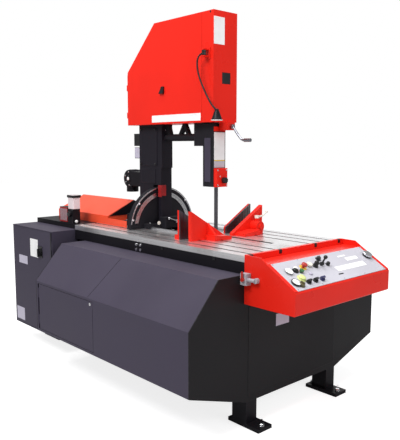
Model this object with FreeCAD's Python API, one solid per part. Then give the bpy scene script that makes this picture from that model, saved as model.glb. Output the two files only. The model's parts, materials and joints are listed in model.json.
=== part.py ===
"""Vertical tilt-frame band saw: a column and head carry the blade and tilt across a
fixed T-slot table, and the whole saw frame feeds forward along the table.

Millimetres, +X forward to the console, +Z up, origin on the floor under the middle."""
import FreeCAD
import Part
import math
import os
from FreeCAD import Vector as V

# ---- driving dimensions -------------------------------------------------------------
TABLE_Z = 938.0
TABLE_THICK = 33.0
TABLE_HALF = 420.0
TABLE_REAR = -700.0
TABLE_FRONT = 970.0
TSLOT_Y = (150.0, 250.0, 350.0)
TSLOT_NECK = 18.0
TSLOT_FOOT = 30.0
SLOT_HALF = 76.0          # half width of the slot the column stands in
KERF_HALF = 15.0          # half width of the slot only the blade runs in
FEED = 420.0              # travel of the saw frame

BASE_REAR = -568.0
BASE_HALF = 802.0
BASE_FOOT_HALF = 397.0
BASE_BOTTOM = 142.0
BASE_LOW_BEND = 275.0
BASE_HIGH_BEND = 612.0
BASE_SHOULDER = 604.0
BASE_TOP = 840.0
SHEET = 6.0
BEAM_THICK = 16.0

DECK_DEPTH = 606.0
DECK_THICK = 8.0
CABINET_OUT = 604.0
CABINET_TOP = 904.0
CABINET_FRONT = TABLE_REAR - 2.0
CONSOLE_DEPTH = 336.0

WHEEL_R = 300.0
WHEEL_X = 20.0
WHEEL_HALF = 20.0
UPPER_Z = 1965.0
LOWER_Z = 495.0
AXLE_R = 20.0
BLADE_WIDE = 34.0
BLADE_THICK = 1.1

COLUMN_HALF = 47.0
COLUMN_BEHIND = 138.0
COLUMN_AHEAD = 106.0
COLUMN_WALL = 10.0
QUADRANT_R = 280.0
QUADRANT_THICK = 40.0
HEAD_HALF = 100.0
HEAD_WALL = 8.0
POST_HALF = 52.0
POST_LENGTH = 395.0
POST_RISE = 200.0         # travel of the post above its rest height

FIT = 0.05                # radial clearance of a running fit
GAP = 0.3                 # clearance between sliding faces

# ---- derived places -----------------------------------------------------------------
REAR_X = TABLE_REAR - DECK_DEPTH
FRONT_X = TABLE_FRONT + CONSOLE_DEPTH
TABLE_UNDER = TABLE_Z - TABLE_THICK
BLADE_R = WHEEL_R + GAP
RETURN_X = WHEEL_X - BLADE_R - BLADE_THICK / 2
CUT_X = WHEEL_X + BLADE_R + BLADE_THICK / 2
COLUMN_REAR = RETURN_X - COLUMN_BEHIND
COLUMN_FRONT = RETURN_X + COLUMN_AHEAD
SPINE_FRONT = RETURN_X + 19.0
CHEEK_REAR = COLUMN_FRONT - 30.0
QUADRANT_FRONT = CHEEK_REAR - 10.0
QUADRANT_REAR = QUADRANT_FRONT - QUADRANT_THICK
HEAD_REAR = COLUMN_REAR - 75.0
HEAD_FRONT = CUT_X + 79.0
HEAD_BOTTOM = UPPER_Z - WHEEL_R - 20.0
HEAD_TOP = UPPER_Z + WHEEL_R + 40.0
POST_REAR = CUT_X - 66.0
POST_FRONT = CUT_X + 29.0
POST_BOTTOM = HEAD_BOTTOM - POST_LENGTH - 5.0
TILT_CENTRE = V(0, 0, TABLE_Z)
JAW_FACE = 332.0
JAW_HIGH = 178.0
JAW_OUTER = 310.0
JAW_INNER = 82.0
JAW_SLOPE = 0.6


# ---- helpers ------------------------------------------------------------------------
def box(x0, x1, y0, y1, z0, z1):
    return Part.makeBox(x1 - x0, y1 - y0, z1 - z0, V(x0, y0, z0))


def rod(start, axis, radius, length):
    return Part.makeCylinder(radius, length, V(*start), V(*axis))


def across(points, x0, x1):
    """Solid with the outline (y, z) from x0 to x1."""
    corners = [V(x0, y, z) for y, z in points]
    return Part.Face(Part.makePolygon(corners + corners[:1])).extrude(V(x1 - x0, 0, 0))


def along(points, y0, y1):
    """Solid with the outline (x, z) from y0 to y1."""
    corners = [V(x, y0, z) for x, z in points]
    return Part.Face(Part.makePolygon(corners + corners[:1])).extrude(V(0, y1 - y0, 0))


def join(*shapes):
    return shapes[0].fuse(list(shapes[1:])).removeSplitter()


def flip(shape):
    return shape.mirror(V(0, 0, 0), V(0, 1, 0))


def both(shape):
    """The shape and its mirror image, as two separate solids."""
    return Part.makeCompound([shape, flip(shape)])


def strip(points, thick):
    """Closed outline of a bent sheet: the path and its copy set off to the left."""
    sides = []
    for (ax, ay), (bx, by) in zip(points, points[1:]):
        run = math.hypot(bx - ax, by - ay)
        sides.append(((bx - ax) / run, (by - ay) / run))
    inner = []
    for i, (x, y) in enumerate(points):
        ux, uy = sides[max(i - 1, 0)]
        vx, vy = sides[min(i, len(sides) - 1)]
        share = 1 + ux * vx + uy * vy
        inner.append((x - thick * (uy + vy) / share, y + thick * (ux + vx) / share))
    return list(points) + inner[::-1]


def bent_tube(points, radius):
    """Round bar along a path of straight runs joined by tangent arcs."""
    pts = [V(*p) for p in points]
    edges = []
    last = pts[0]
    for a, b, c in zip(pts, pts[1:], pts[2:]):
        back = (a - b).normalize()
        on = (c - b).normalize()
        cut = 0.45 * min(a.distanceToPoint(b), b.distanceToPoint(c))
        start = b + back * cut
        end = b + on * cut
        half = back.getAngle(on) / 2
        middle = b + (back + on).normalize() * (cut / math.cos(half) - cut * math.tan(half))
        edges.append(Part.LineSegment(last, start).toShape())
        edges.append(Part.Arc(start, middle, end).toShape())
        last = end
    edges.append(Part.LineSegment(last, pts[-1]).toShape())
    first = (pts[1] - pts[0]).normalize()
    ring = Part.Wire([Part.makeCircle(radius, pts[0], first)])
    return Part.Wire(edges).makePipeShell([ring], True, False)


def hinge(x, y, z, toward, radius=6.0, half=30.0, leaf=22.0):
    """Upright butt hinge: fixed barrel with its pin, and the moving barrel above it."""
    fixed = join(rod((x, y, z), (0, 0, 1), radius, half),
                 rod((x, y, z), (0, 0, 1), radius / 2, 2 * half),
                 box(min(x, x - toward * leaf), max(x, x - toward * leaf), y, y + 4, z, z + half))
    moving = join(rod((x, y, z + half + GAP), (0, 0, 1), radius, half - GAP),
                  box(min(x, x + toward * leaf), max(x, x + toward * leaf), y, y + 4,
                      z + half + GAP, z + 2 * half))
    moving = moving.cut(rod((x, y, z), (0, 0, 1), radius / 2 + FIT, 2 * half + 1))
    return fixed, moving


# ---- base ---------------------------------------------------------------------------
DOOR_REAR = BASE_REAR + 34.0
DOOR_FRONT = 115.0
DOOR_LOW = BASE_LOW_BEND + 18.0
DOOR_HIGH = BASE_HIGH_BEND - 18.0
DOOR_AXIS = (DOOR_REAR - 9.0, -BASE_HALF + 6.0)


def base_outline():
    return [(BASE_FOOT_HALF - 60, BASE_BOTTOM), (BASE_FOOT_HALF, BASE_BOTTOM),
            (BASE_HALF, BASE_LOW_BEND), (BASE_HALF, BASE_HIGH_BEND),
            (BASE_SHOULDER, BASE_TOP), (TABLE_HALF - BEAM_THICK, BASE_TOP)]


def hull_side_right():
    return across(strip(base_outline(), SHEET), BASE_REAR, TABLE_FRONT - SHEET)


def hull_side_left():
    shell = flip(hull_side_right())
    gap = 3.0
    shell = shell.cut(box(DOOR_AXIS[0] - 9, DOOR_FRONT + gap, -BASE_HALF - 1, -BASE_HALF + SHEET + 1,
                          DOOR_LOW - gap, DOOR_HIGH + gap))
    leaves = [hinge(*DOOR_AXIS, z, 1)[0] for z in door_hinge_heights()]
    return join(shell, *leaves)


def door_hinge_heights():
    return (DOOR_LOW + 30.0, DOOR_HIGH - 90.0)


def access_door():
    panel = box(DOOR_REAR, DOOR_FRONT, -BASE_HALF, -BASE_HALF + SHEET, DOOR_LOW, DOOR_HIGH)
    rib = box(DOOR_REAR + 40, DOOR_FRONT - 60, -BASE_HALF + SHEET, -BASE_HALF + SHEET + 18,
              DOOR_LOW + 120, DOOR_LOW + 124)
    leaves = [hinge(*DOOR_AXIS, z, 1)[1] for z in door_hinge_heights()]
    door = join(panel, rib, *leaves)
    return door.cut(rod(LOCK_AT, (0, 1, 0), 9 + FIT, 40))


LOCK_AT = (DOOR_FRONT - 26.0, -BASE_HALF - 5.0, DOOR_HIGH - 16.0)


def door_lock():
    x, y, z = LOCK_AT
    barrel = rod((x, -BASE_HALF, z), (0, 1, 0), 9, SHEET + 6)
    grip = box(x - 3, x + 3, -BASE_HALF, -BASE_HALF + 3, z - 8, z + 8)
    cam = box(x - 7, x + 24, -BASE_HALF + SHEET + 1, -BASE_HALF + SHEET + 5, z - 7, z + 7)
    return join(barrel, grip, cam)


def hull_floor():
    top = BASE_BOTTOM + SHEET
    return box(BASE_REAR, TABLE_FRONT - SHEET, -BASE_FOOT_HALF + 5, BASE_FOOT_HALF - 5, top, top + 4)


def end_outline():
    right = base_outline()[1:]
    return right + [(-y, z) for y, z in right[::-1]]


def hull_front():
    return across(end_outline(), TABLE_FRONT - SHEET, TABLE_FRONT)


def rear_frame():
    """Bulkhead behind the base and the square-tube frame that carries the rear deck."""
    bulkhead = across(end_outline(), BASE_REAR - SHEET, BASE_REAR)
    tube = 60.0
    top = TABLE_Z - DECK_THICK
    parts = [bulkhead]
    for side in (-1, 1):
        y0, y1 = sorted((side * (BASE_FOOT_HALF - tube), side * BASE_FOOT_HALF))
        low_rail = box(REAR_X + 6, BASE_REAR - SHEET, y0, y1, BASE_BOTTOM, BASE_BOTTOM + tube)
        posts = [box(x0, x0 + tube, y0, y1, BASE_BOTTOM + tube, top)
                 for x0 in (REAR_X + 6, TABLE_REAR - tube)]
        high_rail = box(REAR_X + 6 + tube, TABLE_REAR - tube, y0, y1, top - tube, top)
        parts += [low_rail, high_rail] + posts
    return Part.makeCompound(parts)


def rear_deck():
    """Plate behind the table, folded down at the back and the far side."""
    half = BASE_FOOT_HALF + 3
    low = BASE_BOTTOM + 2
    plate = box(REAR_X, TABLE_REAR, -half, half, TABLE_Z - DECK_THICK, TABLE_Z)
    back = box(REAR_X, REAR_X + 3, -half, half, low, TABLE_Z - DECK_THICK)
    far = box(REAR_X, BASE_REAR - SHEET, half - 3, half, low, BASE_TOP)
    return join(plate, back, far)


def legs():
    plates = []
    for x0, out in ((TABLE_FRONT - 105, 1), (REAR_X + 150, -1)):
        y0, y1 = BASE_FOOT_HALF - 82, BASE_FOOT_HALF
        leg = box(x0, x0 + 105, y0, y1, FOOT_THICK, BASE_BOTTOM)
        px0 = x0 - 30 if out > 0 else x0 - 90
        plate = box(px0, px0 + FOOT_LONG, y0 - 23, y1, 0, FOOT_THICK)
        for hx in foot_holes(px0):
            plate = plate.cut(rod((hx, FOOT_HOLE_Y, -1), (0, 0, 1), FOOT_HOLE_R, FOOT_THICK + 2))
        foot = join(leg, plate)
        plates += [foot, flip(foot)]
    return Part.makeCompound(plates)


FOOT_THICK = 20.0
FOOT_LONG = 225.0
FOOT_HOLE_R = 9.0
FOOT_HOLE_Y = BASE_FOOT_HALF - 52.5


def foot_holes(x0):
    return (x0 + 15, x0 + FOOT_LONG - 25)


def table_beams():
    """Deep side rails under the table edges, and the two cross members between them."""
    side = box(TABLE_REAR, TABLE_FRONT, TABLE_HALF - BEAM_THICK, TABLE_HALF, BASE_TOP, TABLE_UNDER)
    inner = TABLE_HALF - BEAM_THICK
    cross = [box(x, x + 14, -inner, inner, BASE_TOP + 5, TABLE_UNDER)
             for x in (TABLE_REAR, TABLE_FRONT - 20)]
    return Part.makeCompound([side, flip(side)] + cross)


def table_right():
    flare = TABLE_THICK - 3.0
    edge = SLOT_STEP_X
    top, low = TABLE_Z, TABLE_UNDER
    rear = across([(SLOT_HALF, top), (TABLE_HALF, top), (TABLE_HALF, low),
                   (SLOT_HALF + flare, low), (SLOT_HALF, top - 3)], TABLE_REAR, edge)
    front = across([(KERF_HALF, top), (TABLE_HALF, top), (TABLE_HALF, low),
                    (KERF_HALF + flare, low), (KERF_HALF, top - 3)], edge, KERF_END_X)
    end = box(KERF_END_X, TABLE_FRONT, GAP, TABLE_HALF, low, top)
    plate = join(rear, front, end)
    for y in TSLOT_Y:
        neck = box(TABLE_REAR - 1, TABLE_FRONT + 1, y - TSLOT_NECK / 2, y + TSLOT_NECK / 2, top - 13, top + 1)
        foot = box(TABLE_REAR - 1, TABLE_FRONT + 1, y - TSLOT_FOOT / 2, y + TSLOT_FOOT / 2, top - 25, top - 12)
        plate = plate.cut(join(neck, foot))
    return plate


SLOT_STEP_X = COLUMN_FRONT + FEED + 17.0
KERF_END_X = CUT_X + FEED + 60.0


def table_left():
    return flip(table_right())


RAIL_HALF = 10.0
RAIL_HIGH = 16.0


def carriage_rails():
    y = TSLOT_Y[0]
    rail = box(BASE_REAR + 20, SLOT_STEP_X, y - RAIL_HALF, y + RAIL_HALF, TABLE_Z, TABLE_Z + RAIL_HIGH)
    return both(rail)


def cabinet_body():
    shell = box(REAR_X, CABINET_FRONT, -CABINET_OUT, -BASE_FOOT_HALF - 3, BASE_BOTTOM, CABINET_TOP)
    wall = 5.0
    shell = shell.cut(box(REAR_X + wall, CABINET_FRONT - wall, -CABINET_OUT - 1, -BASE_FOOT_HALF - 3 - wall,
                          BASE_BOTTOM + wall, CABINET_TOP - wall))
    fixed = [hinge(*CABINET_AXIS, z, -1, 5.0, 30.0, 8.0)[0] for z in cabinet_hinge_heights()]
    backplate = box(REAR_X + 60, CABINET_FRONT - 80, -BASE_FOOT_HALF - 3 - wall - 15,
                    -BASE_FOOT_HALF - 3 - wall, BASE_BOTTOM + 60, CABINET_TOP - 60)
    return join(shell, backplate, *fixed)


CABINET_AXIS = (CABINET_FRONT - 11.0, -CABINET_OUT + 6.0)


def cabinet_hinge_heights():
    return (BASE_BOTTOM + 70.0, CABINET_TOP - 130.0)


def cabinet_door():
    panel = box(REAR_X + 8, CABINET_AXIS[0] - 8, -CABINET_OUT, -CABINET_OUT + SHEET,
                BASE_BOTTOM + 8, CABINET_TOP - 8)
    moving = [hinge(*CABINET_AXIS, z, -1, 5.0, 30.0, 20.0)[1] for z in cabinet_hinge_heights()]
    door = join(panel, *moving)
    return door.cut(rod((SWITCH_X, -CABINET_OUT - 1, SWITCH_Z), (0, 1, 0), 8 + FIT, SHEET + 2))


SWITCH_X = -880.0
SWITCH_Z = 735.0


def isolator_switch():
    face = -CABINET_OUT
    dial = rod((SWITCH_X, face - 12, SWITCH_Z), (0, 1, 0), 26, 12 - GAP)
    bar = box(SWITCH_X - 7, SWITCH_X + 7, face - 24, face - 12, SWITCH_Z - 30, SWITCH_Z + 30)
    shaft = rod((SWITCH_X, face - 12, SWITCH_Z), (0, 1, 0), 8, 12 + SHEET + 12)
    return join(dial, bar, shaft)


def rear_cover():
    half, eaves, ridge = 232.0, TABLE_Z + 62, TABLE_Z + 165
    x0, x1 = REAR_X + 45, BASE_REAR + 8
    outer = [(half, TABLE_Z), (half, eaves), (0, ridge), (-half, eaves), (-half, TABLE_Z)]
    roof = across(strip(outer, 3), x0, x1)
    ends = [across(outer, x0, x0 + 3), across(outer, x1 - 3, x1)]
    lip = box(x1, TABLE_REAR + 370, half - 3, half, TABLE_Z, TABLE_Z + 46)
    cover = join(roof, *ends, lip, flip(lip))
    return cover.cut(rod((x1 - 10, 0, CYLINDER_Z), (1, 0, 0), ROD_R + 8, 20))


CYLINDER_Z = TABLE_Z + 47.0
ROD_R = 15.0
CYLINDER_BORE = 25.0
CYLINDER_REAR = REAR_X + 61.0
CYLINDER_FRONT = BASE_REAR - 32.0


def feed_cylinder():
    length = CYLINDER_FRONT - CYLINDER_REAR
    barrel = rod((CYLINDER_REAR, 0, CYLINDER_Z), (1, 0, 0), CYLINDER_BORE + 9, length)
    barrel = barrel.cut(rod((CYLINDER_REAR + 12, 0, CYLINDER_Z), (1, 0, 0), CYLINDER_BORE, length - 32))
    saddles = [box(x, x + 24, -45, 45, TABLE_Z, CYLINDER_Z - CYLINDER_BORE - 4)
               for x in (CYLINDER_REAR + 40, TABLE_REAR - 40)]
    return join(barrel, *saddles).cut(
        rod((CYLINDER_REAR + 12, 0, CYLINDER_Z), (1, 0, 0), ROD_R + FIT, length + 20))


def feed_rod():
    piston = rod((CYLINDER_REAR + 14, 0, CYLINDER_Z), (1, 0, 0), CYLINDER_BORE - FIT, 30)
    start = CYLINDER_REAR + 14
    bar = rod((start, 0, CYLINDER_Z), (1, 0, 0), ROD_R, CROSSHEAD_REAR - start)
    return join(piston, bar)


def lubricator_tank():
    tank = box(-843, -767, -392, -330, TABLE_Z + 106, TABLE_Z + 188)
    tank = tank.makeFillet(8, [e for e in tank.Edges if abs(e.tangentAt(0).z) > 0.9])
    lid = box(-846, -764, -395, -327, TABLE_Z + 188, TABLE_Z + 206)
    return join(tank, lid)


def lubricator_pump():
    body = box(-958, -844, -392, -332, TABLE_Z, TABLE_Z + 114)
    pump = box(-846, -772, -392, -332, TABLE_Z, TABLE_Z + 106)
    gauge = rod((-806, -406, TABLE_Z + 68), (0, 1, 0), 20, 16)
    valve = rod((-774, -376, TABLE_Z + 16), (1, 0, 0), 7, 16)
    return join(body, pump, gauge, valve)


# ---- console ------------------------------------------------------------------------
SLOPE_TOP = (TABLE_FRONT + 150.0, TABLE_Z - 26.0)
SLOPE_END = (FRONT_X - 6.0, TABLE_Z - 134.0)
SLOPE_RUN = math.hypot(SLOPE_END[0] - SLOPE_TOP[0], SLOPE_END[1] - SLOPE_TOP[1])
DOWN = ((SLOPE_END[0] - SLOPE_TOP[0]) / SLOPE_RUN, (SLOPE_END[1] - SLOPE_TOP[1]) / SLOPE_RUN)
NORMAL = (-DOWN[1], DOWN[0])
PANEL_THICK = 3.0
PANEL_HALF = 396.0
CONSOLE_LOW = TABLE_Z - 253.0


def on_slope(run, height):
    """Point (x, z) at a distance down the console's slope and a height off it."""
    return (SLOPE_TOP[0] + DOWN[0] * run + NORMAL[0] * height,
            SLOPE_TOP[1] + DOWN[1] * run + NORMAL[1] * height)


def console_housing():
    back, top, ledge = TABLE_FRONT, TABLE_Z + 7, SLOPE_TOP[1]
    outline = [(back, CONSOLE_LOW), (back, top), (back + 22, top), (back + 22, ledge), SLOPE_TOP,
               SLOPE_END, (FRONT_X, SLOPE_END[1] - 8), (FRONT_X, CONSOLE_LOW + 5),
               (FRONT_X - 5, CONSOLE_LOW)]
    hollow = [(back + 5, CONSOLE_LOW + 5), (back + 5, ledge - 6), on_slope(0, -6),
              on_slope(SLOPE_RUN - 4, -5), (FRONT_X - 5, SLOPE_END[1] - 12),
              (FRONT_X - 5, CONSOLE_LOW + 8)]
    shell = along(outline, -TABLE_HALF, TABLE_HALF)
    shell = shell.cut(along(hollow, -TABLE_HALF + 5, TABLE_HALF - 5))
    window = along([on_slope(14, 2), on_slope(SLOPE_RUN - 12, 2), on_slope(SLOPE_RUN - 12, -20),
                    on_slope(14, -20)], -PANEL_HALF + 12, PANEL_HALF - 12)
    rim = along([on_slope(0, -1), on_slope(0, 4), on_slope(SLOPE_RUN, 4), on_slope(SLOPE_RUN, -1)],
                PANEL_HALF + GAP, TABLE_HALF)
    cheek = along([(back, ledge - 1), (back, top), (back + 109, top - 2), on_slope(0, 4),
                   on_slope(0, -1)], TABLE_HALF - 6, TABLE_HALF)
    return join(shell.cut(window), rim, flip(rim), cheek, flip(cheek))


# distance down the slope, place across, stem and cap radius of each control
CONTROLS = {
    "button_start": (93.0, -248.0, 12.0),
    "button_stop": (62.0, -151.0, 16.0),
    "estop_button": (67.0, -205.0, 16.0),
    "selector_knob_1": (170.0, -270.0, 14.0),
    "selector_knob_2": (170.0, -216.0, 14.0),
    "speed_knob": (171.0, -161.0, 14.0),
    "feed_lever": (77.0, -62.0, 13.0),
}
STEM_R = 7.0
PUSH = 5.0


def placed(shape, name):
    """Turn a control built upright at the origin onto the slope."""
    run, across_y, _ = CONTROLS[name]
    x, z = on_slope(run, PANEL_THICK)
    shape.rotate(V(0, 0, 0), V(0, 1, 0), math.degrees(math.atan2(NORMAL[0], NORMAL[1])))
    shape.translate(V(x, across_y, z))
    return shape


def stem(length):
    return rod((0, 0, -length), (0, 0, 1), STEM_R, length)


def push_button(name):
    radius = CONTROLS[name][2]
    cap = rod((0, 0, PUSH + 1), (0, 0, 1), radius, 8)
    return placed(join(cap, stem(16), rod((0, 0, -1), (0, 0, 1), STEM_R, PUSH + 3)), name)


def estop_button():
    radius = CONTROLS["estop_button"][2]
    head = rod((0, 0, 14), (0, 0, 1), radius, 12)
    head = head.makeFillet(5, [head.Edges[0]])
    neck = rod((0, 0, -1), (0, 0, 1), STEM_R, 16)
    return placed(join(head, neck, stem(16)), "estop_button")


def rotary_knob(name):
    radius = CONTROLS[name][2]
    skirt = rod((0, 0, GAP), (0, 0, 1), radius, 7)
    bar = box(-5, 5, -radius + 1, radius - 1, 6, 20)
    return placed(join(skirt, bar, stem(14), rod((0, 0, -1), (0, 0, 1), STEM_R, 4)), name)


def feed_lever():
    hub = rod((0, -9, 10 + GAP), (0, 1, 0), 10, 18)
    stick = rod((0, 0, 12), (0, 0, 1), 5, 38)
    tip = Part.makeSphere(11, V(0, 0, 54))
    return placed(join(hub, stick, tip), "feed_lever")


def console_panel():
    corners = [on_slope(2, 0), on_slope(2, PANEL_THICK), on_slope(SLOPE_RUN - 2, PANEL_THICK),
               on_slope(SLOPE_RUN - 2, 0)]
    plate = along(corners, -PANEL_HALF, PANEL_HALF)
    for name in CONTROLS:
        if name != "feed_lever":
            plate = plate.cut(placed(rod((0, 0, -10), (0, 0, 1), STEM_R + FIT, 20), name))
    return plate


def pressure_gauge():
    x, z = on_slope(82, PANEL_THICK)
    body = rod((0, 0, 0), (0, 0, 1), 26, 16)
    body.rotate(V(0, 0, 0), V(0, 1, 0), math.degrees(math.atan2(NORMAL[0], NORMAL[1])))
    body.translate(V(x, 364, z))
    return body


VALVE_AT = (TABLE_FRONT + 50.0, TABLE_Z - 118.0)


def supply_valve():
    x, z = VALVE_AT
    block = box(x - 48, x - 4, -TABLE_HALF - 34, -TABLE_HALF, z - 26, z + 34)
    port = rod((x - 4, -TABLE_HALF - 20, z + 4), (1, 0, 0), 10, 46)
    return join(block, port, rod((x + 42, -TABLE_HALF - 20, z + 4), (0, 1, 0), 14, 20))


def valve_handle():
    x, z = VALVE_AT
    shaft_y = -TABLE_HALF - 34 - GAP
    hub = rod((x - 26, shaft_y - 12, z + 4), (0, 1, 0), 10, 12)
    lever = box(x - 31, x - 21, shaft_y - 12, shaft_y - 6, z + 4, z + 46)
    return join(hub, lever)


# ---- vises --------------------------------------------------------------------------
def jaw_plate(x0, x1, inner=JAW_INNER, lift=0.0):
    low = TABLE_Z + lift
    inner_high = TABLE_Z + JAW_HIGH - (JAW_OUTER - inner) * JAW_SLOPE
    return across([(inner, low), (JAW_OUTER, low), (JAW_OUTER, TABLE_Z + JAW_HIGH),
                   (inner, max(inner_high, low + 8))], x0, x1)


LINER_THICK = 10.0
JAW_THICK = 42.0


def vise_fixed_right():
    front = JAW_FACE - LINER_THICK
    plate = jaw_plate(front - 14, front)
    foot = box(front - JAW_THICK, front - 14, JAW_INNER + 30, JAW_OUTER, TABLE_Z, TABLE_Z + 26)
    web = along([(front - JAW_THICK, TABLE_Z + 26), (front - 14, TABLE_Z + 26),
                 (front - 14, TABLE_Z + 120)], JAW_OUTER - 40, JAW_OUTER - 24)
    bolt = rod((front - 28, TSLOT_Y[1], TABLE_Z + 20), (0, 0, 1), 10, 20)
    return join(plate, foot, web, bolt)


def vise_fixed_left():
    return flip(vise_fixed_right())


def jaw_liners():
    liner = jaw_plate(JAW_FACE - LINER_THICK, JAW_FACE)
    for i in range(1, 9):
        y = JAW_INNER + i * 25.0
        liner = liner.cut(box(JAW_FACE - 2, JAW_FACE + 1, y - 2, y + 2, TABLE_Z - 1, TABLE_Z + JAW_HIGH + 1))
    return both(liner)


MOVING_JAW = 407.0
MOVING_THICK = 30.0
MOVING_INNER = 38.0


def moving_jaw():
    front = MOVING_JAW + MOVING_THICK
    plate = jaw_plate(MOVING_JAW, front, MOVING_INNER, GAP)
    foot = across([(60, TABLE_Z + GAP), (200, TABLE_Z + GAP), (200, TABLE_Z + 34), (60, TABLE_Z + 18)],
                  front, front + 85)
    half = TSLOT_NECK / 2 - 0.2
    y = TSLOT_Y[0]
    key = box(MOVING_JAW + 5, front + 75, y - half, y + half, TABLE_Z - 10, TABLE_Z + GAP)
    return join(plate, foot, key)


def vise_moving_left():
    web = along([(MOVING_JAW + MOVING_THICK, TABLE_Z + 30), (MOVING_JAW + MOVING_THICK + 70, TABLE_Z + 30),
                 (MOVING_JAW + MOVING_THICK, TABLE_Z + 100)], 170, 186)
    return flip(join(moving_jaw(), web))


CLAMP_AT = (MOVING_JAW + MOVING_THICK, 225.0, TABLE_Z + 48.0)


def vise_moving_right():
    x, y, z = CLAMP_AT
    hub = rod((x, y, z), (1, 0, 0), 36, 62)
    seat = box(x, x + 62, y - 25, y + 25, TABLE_Z + GAP, z)
    cap = rod((x + 62, y, z), (1, 0, 0), 16, 10)
    turret = rod((x + 31, y, z), (0, 0, 1), 14, 52)
    return join(moving_jaw(), hub, seat, cap, turret)


def clamp_lever():
    x, y, z = CLAMP_AT
    top = z + 52 + GAP
    boss = rod((x + 31, y, top), (0, 0, 1), 15, 18)
    arm = bent_tube([(x + 31, y, top + 9), (x + 31, y + 50, top + 9), (x + 31, y + 88, top + 34)], 6)
    return join(boss, arm, Part.makeSphere(10, V(x + 31, y + 92, top + 37)))


# ---- carriage -----------------------------------------------------------------------
CROSSHEAD_REAR = COLUMN_REAR - 51.0
SHOE_FRONT = COLUMN_FRONT + 25.0
SHOE_HALF = 22.0
SHOE_TOP = TABLE_Z + 34.0
PIN_R = 20.0


def quadrant():
    """Half-disc casting that carries the tilt pin and the angle scale."""
    rim = 26.0
    low = TABLE_Z + 3
    plate = rod((QUADRANT_REAR, 0, TABLE_Z), (1, 0, 0), QUADRANT_R, QUADRANT_THICK)
    recess = rod((QUADRANT_REAR - 1, 0, TABLE_Z), (1, 0, 0), QUADRANT_R - rim, QUADRANT_THICK - 19)
    face = rod((QUADRANT_FRONT - 3, 0, TABLE_Z), (1, 0, 0), QUADRANT_R - rim - 4, 4)
    plate = plate.cut(recess).cut(face)
    reach = QUADRANT_R + 1
    plate = plate.cut(box(QUADRANT_REAR - 1, QUADRANT_FRONT + 1, -reach, reach, TABLE_Z - reach, low))
    hub = rod((QUADRANT_REAR, 0, TABLE_Z), (1, 0, 0), 45, QUADRANT_THICK)
    sill = box(QUADRANT_REAR, QUADRANT_FRONT - 3, -QUADRANT_R + 12, QUADRANT_R - 12, low, low + 22)
    body = join(plate, hub, sill).cut(rod((QUADRANT_REAR - 1, 0, TABLE_Z), (1, 0, 0),
                                          PIN_R + FIT, QUADRANT_THICK + 2))
    for side in (-1, 1):
        y = side * TSLOT_Y[0]
        body = body.cut(box(QUADRANT_REAR - 1, QUADRANT_FRONT + 1, y - SHOE_HALF, y + SHOE_HALF,
                            low - 1, SHOE_TOP))
    return body


def angle_scale():
    outer, inner = QUADRANT_R - 34, QUADRANT_R - 62
    x = QUADRANT_FRONT - 3
    ring = rod((x, 0, TABLE_Z), (1, 0, 0), outer, 3).cut(rod((x - 1, 0, TABLE_Z), (1, 0, 0), inner, 5))
    return ring.cut(box(x - 1, x + 4, -outer - 1, outer + 1, TABLE_Z - outer - 1, TABLE_Z + 40))


def carriage_base():
    """Two shoes on the rails, the crosshead behind the column and the box before it."""
    y = TSLOT_Y[0]
    shoe = box(CROSSHEAD_REAR, SHOE_FRONT, y - SHOE_HALF, y + SHOE_HALF, TABLE_Z + 2, SHOE_TOP)
    shoe = shoe.cut(box(CROSSHEAD_REAR - 1, SHOE_FRONT + 1, y - RAIL_HALF - GAP, y + RAIL_HALF + GAP,
                        TABLE_Z, TABLE_Z + RAIL_HIGH + GAP))
    inner = y - SHOE_HALF
    crosshead = box(CROSSHEAD_REAR, CROSSHEAD_REAR + 30, -inner, inner, TABLE_Z + 6, CYLINDER_Z + 32)
    bridge = box(COLUMN_FRONT + 7, SHOE_FRONT, -inner, inner, TABLE_Z + 4, SHOE_TOP)
    front_box = box(COLUMN_FRONT + 7, COLUMN_FRONT + 75, -68, 68, TABLE_Z + 4, TABLE_Z + 76)
    return join(shoe, flip(shoe), crosshead, bridge, front_box)


LOCK_PIVOT = (COLUMN_FRONT + 75.0, 26.0, TABLE_Z + 47.0)


def lock_lever():
    x, y, z = LOCK_PIVOT
    hub = rod((x + GAP, y, z), (1, 0, 0), 13, 12)
    arm = bent_tube([(x + 7, y, z), (x + 9, y - 40, z + 13), (x + 17, y - 76, z + 25)], 5)
    return join(hub, arm, Part.makeSphere(9, V(x + 17, y - 78, z + 26)))


# ---- saw frame ----------------------------------------------------------------------
COLUMN_FOOT = TABLE_Z - 138.0
NOTCH_TOP = TABLE_Z + QUADRANT_R + 14.0
COLUMN_STEP_Z = 1350.0


def column():
    spine = box(COLUMN_REAR, SPINE_FRONT, -COLUMN_HALF, COLUMN_HALF, COLUMN_FOOT, HEAD_BOTTOM)
    nose = box(SPINE_FRONT, COLUMN_FRONT, -COLUMN_HALF, COLUMN_HALF, NOTCH_TOP, HEAD_BOTTOM)
    cheek = box(CHEEK_REAR, COLUMN_FRONT, -COLUMN_HALF, COLUMN_HALF, TABLE_Z - 48, NOTCH_TOP)
    upper = box(COLUMN_FRONT, COLUMN_FRONT + 10, -COLUMN_HALF, COLUMN_HALF, COLUMN_STEP_Z, HEAD_BOTTOM)
    pin = rod((SPINE_FRONT - 5, 0, TABLE_Z), (1, 0, 0), PIN_R, COLUMN_FRONT - SPINE_FRONT + 5)
    hollow = box(COLUMN_REAR + COLUMN_WALL, SPINE_FRONT - COLUMN_WALL, -COLUMN_HALF + COLUMN_WALL,
                 COLUMN_HALF - COLUMN_WALL, COLUMN_FOOT - 1, HEAD_BOTTOM + 1)
    return join(join(spine, nose, cheek, upper).cut(hollow), pin)


WEB_IN = 30.0


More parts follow.
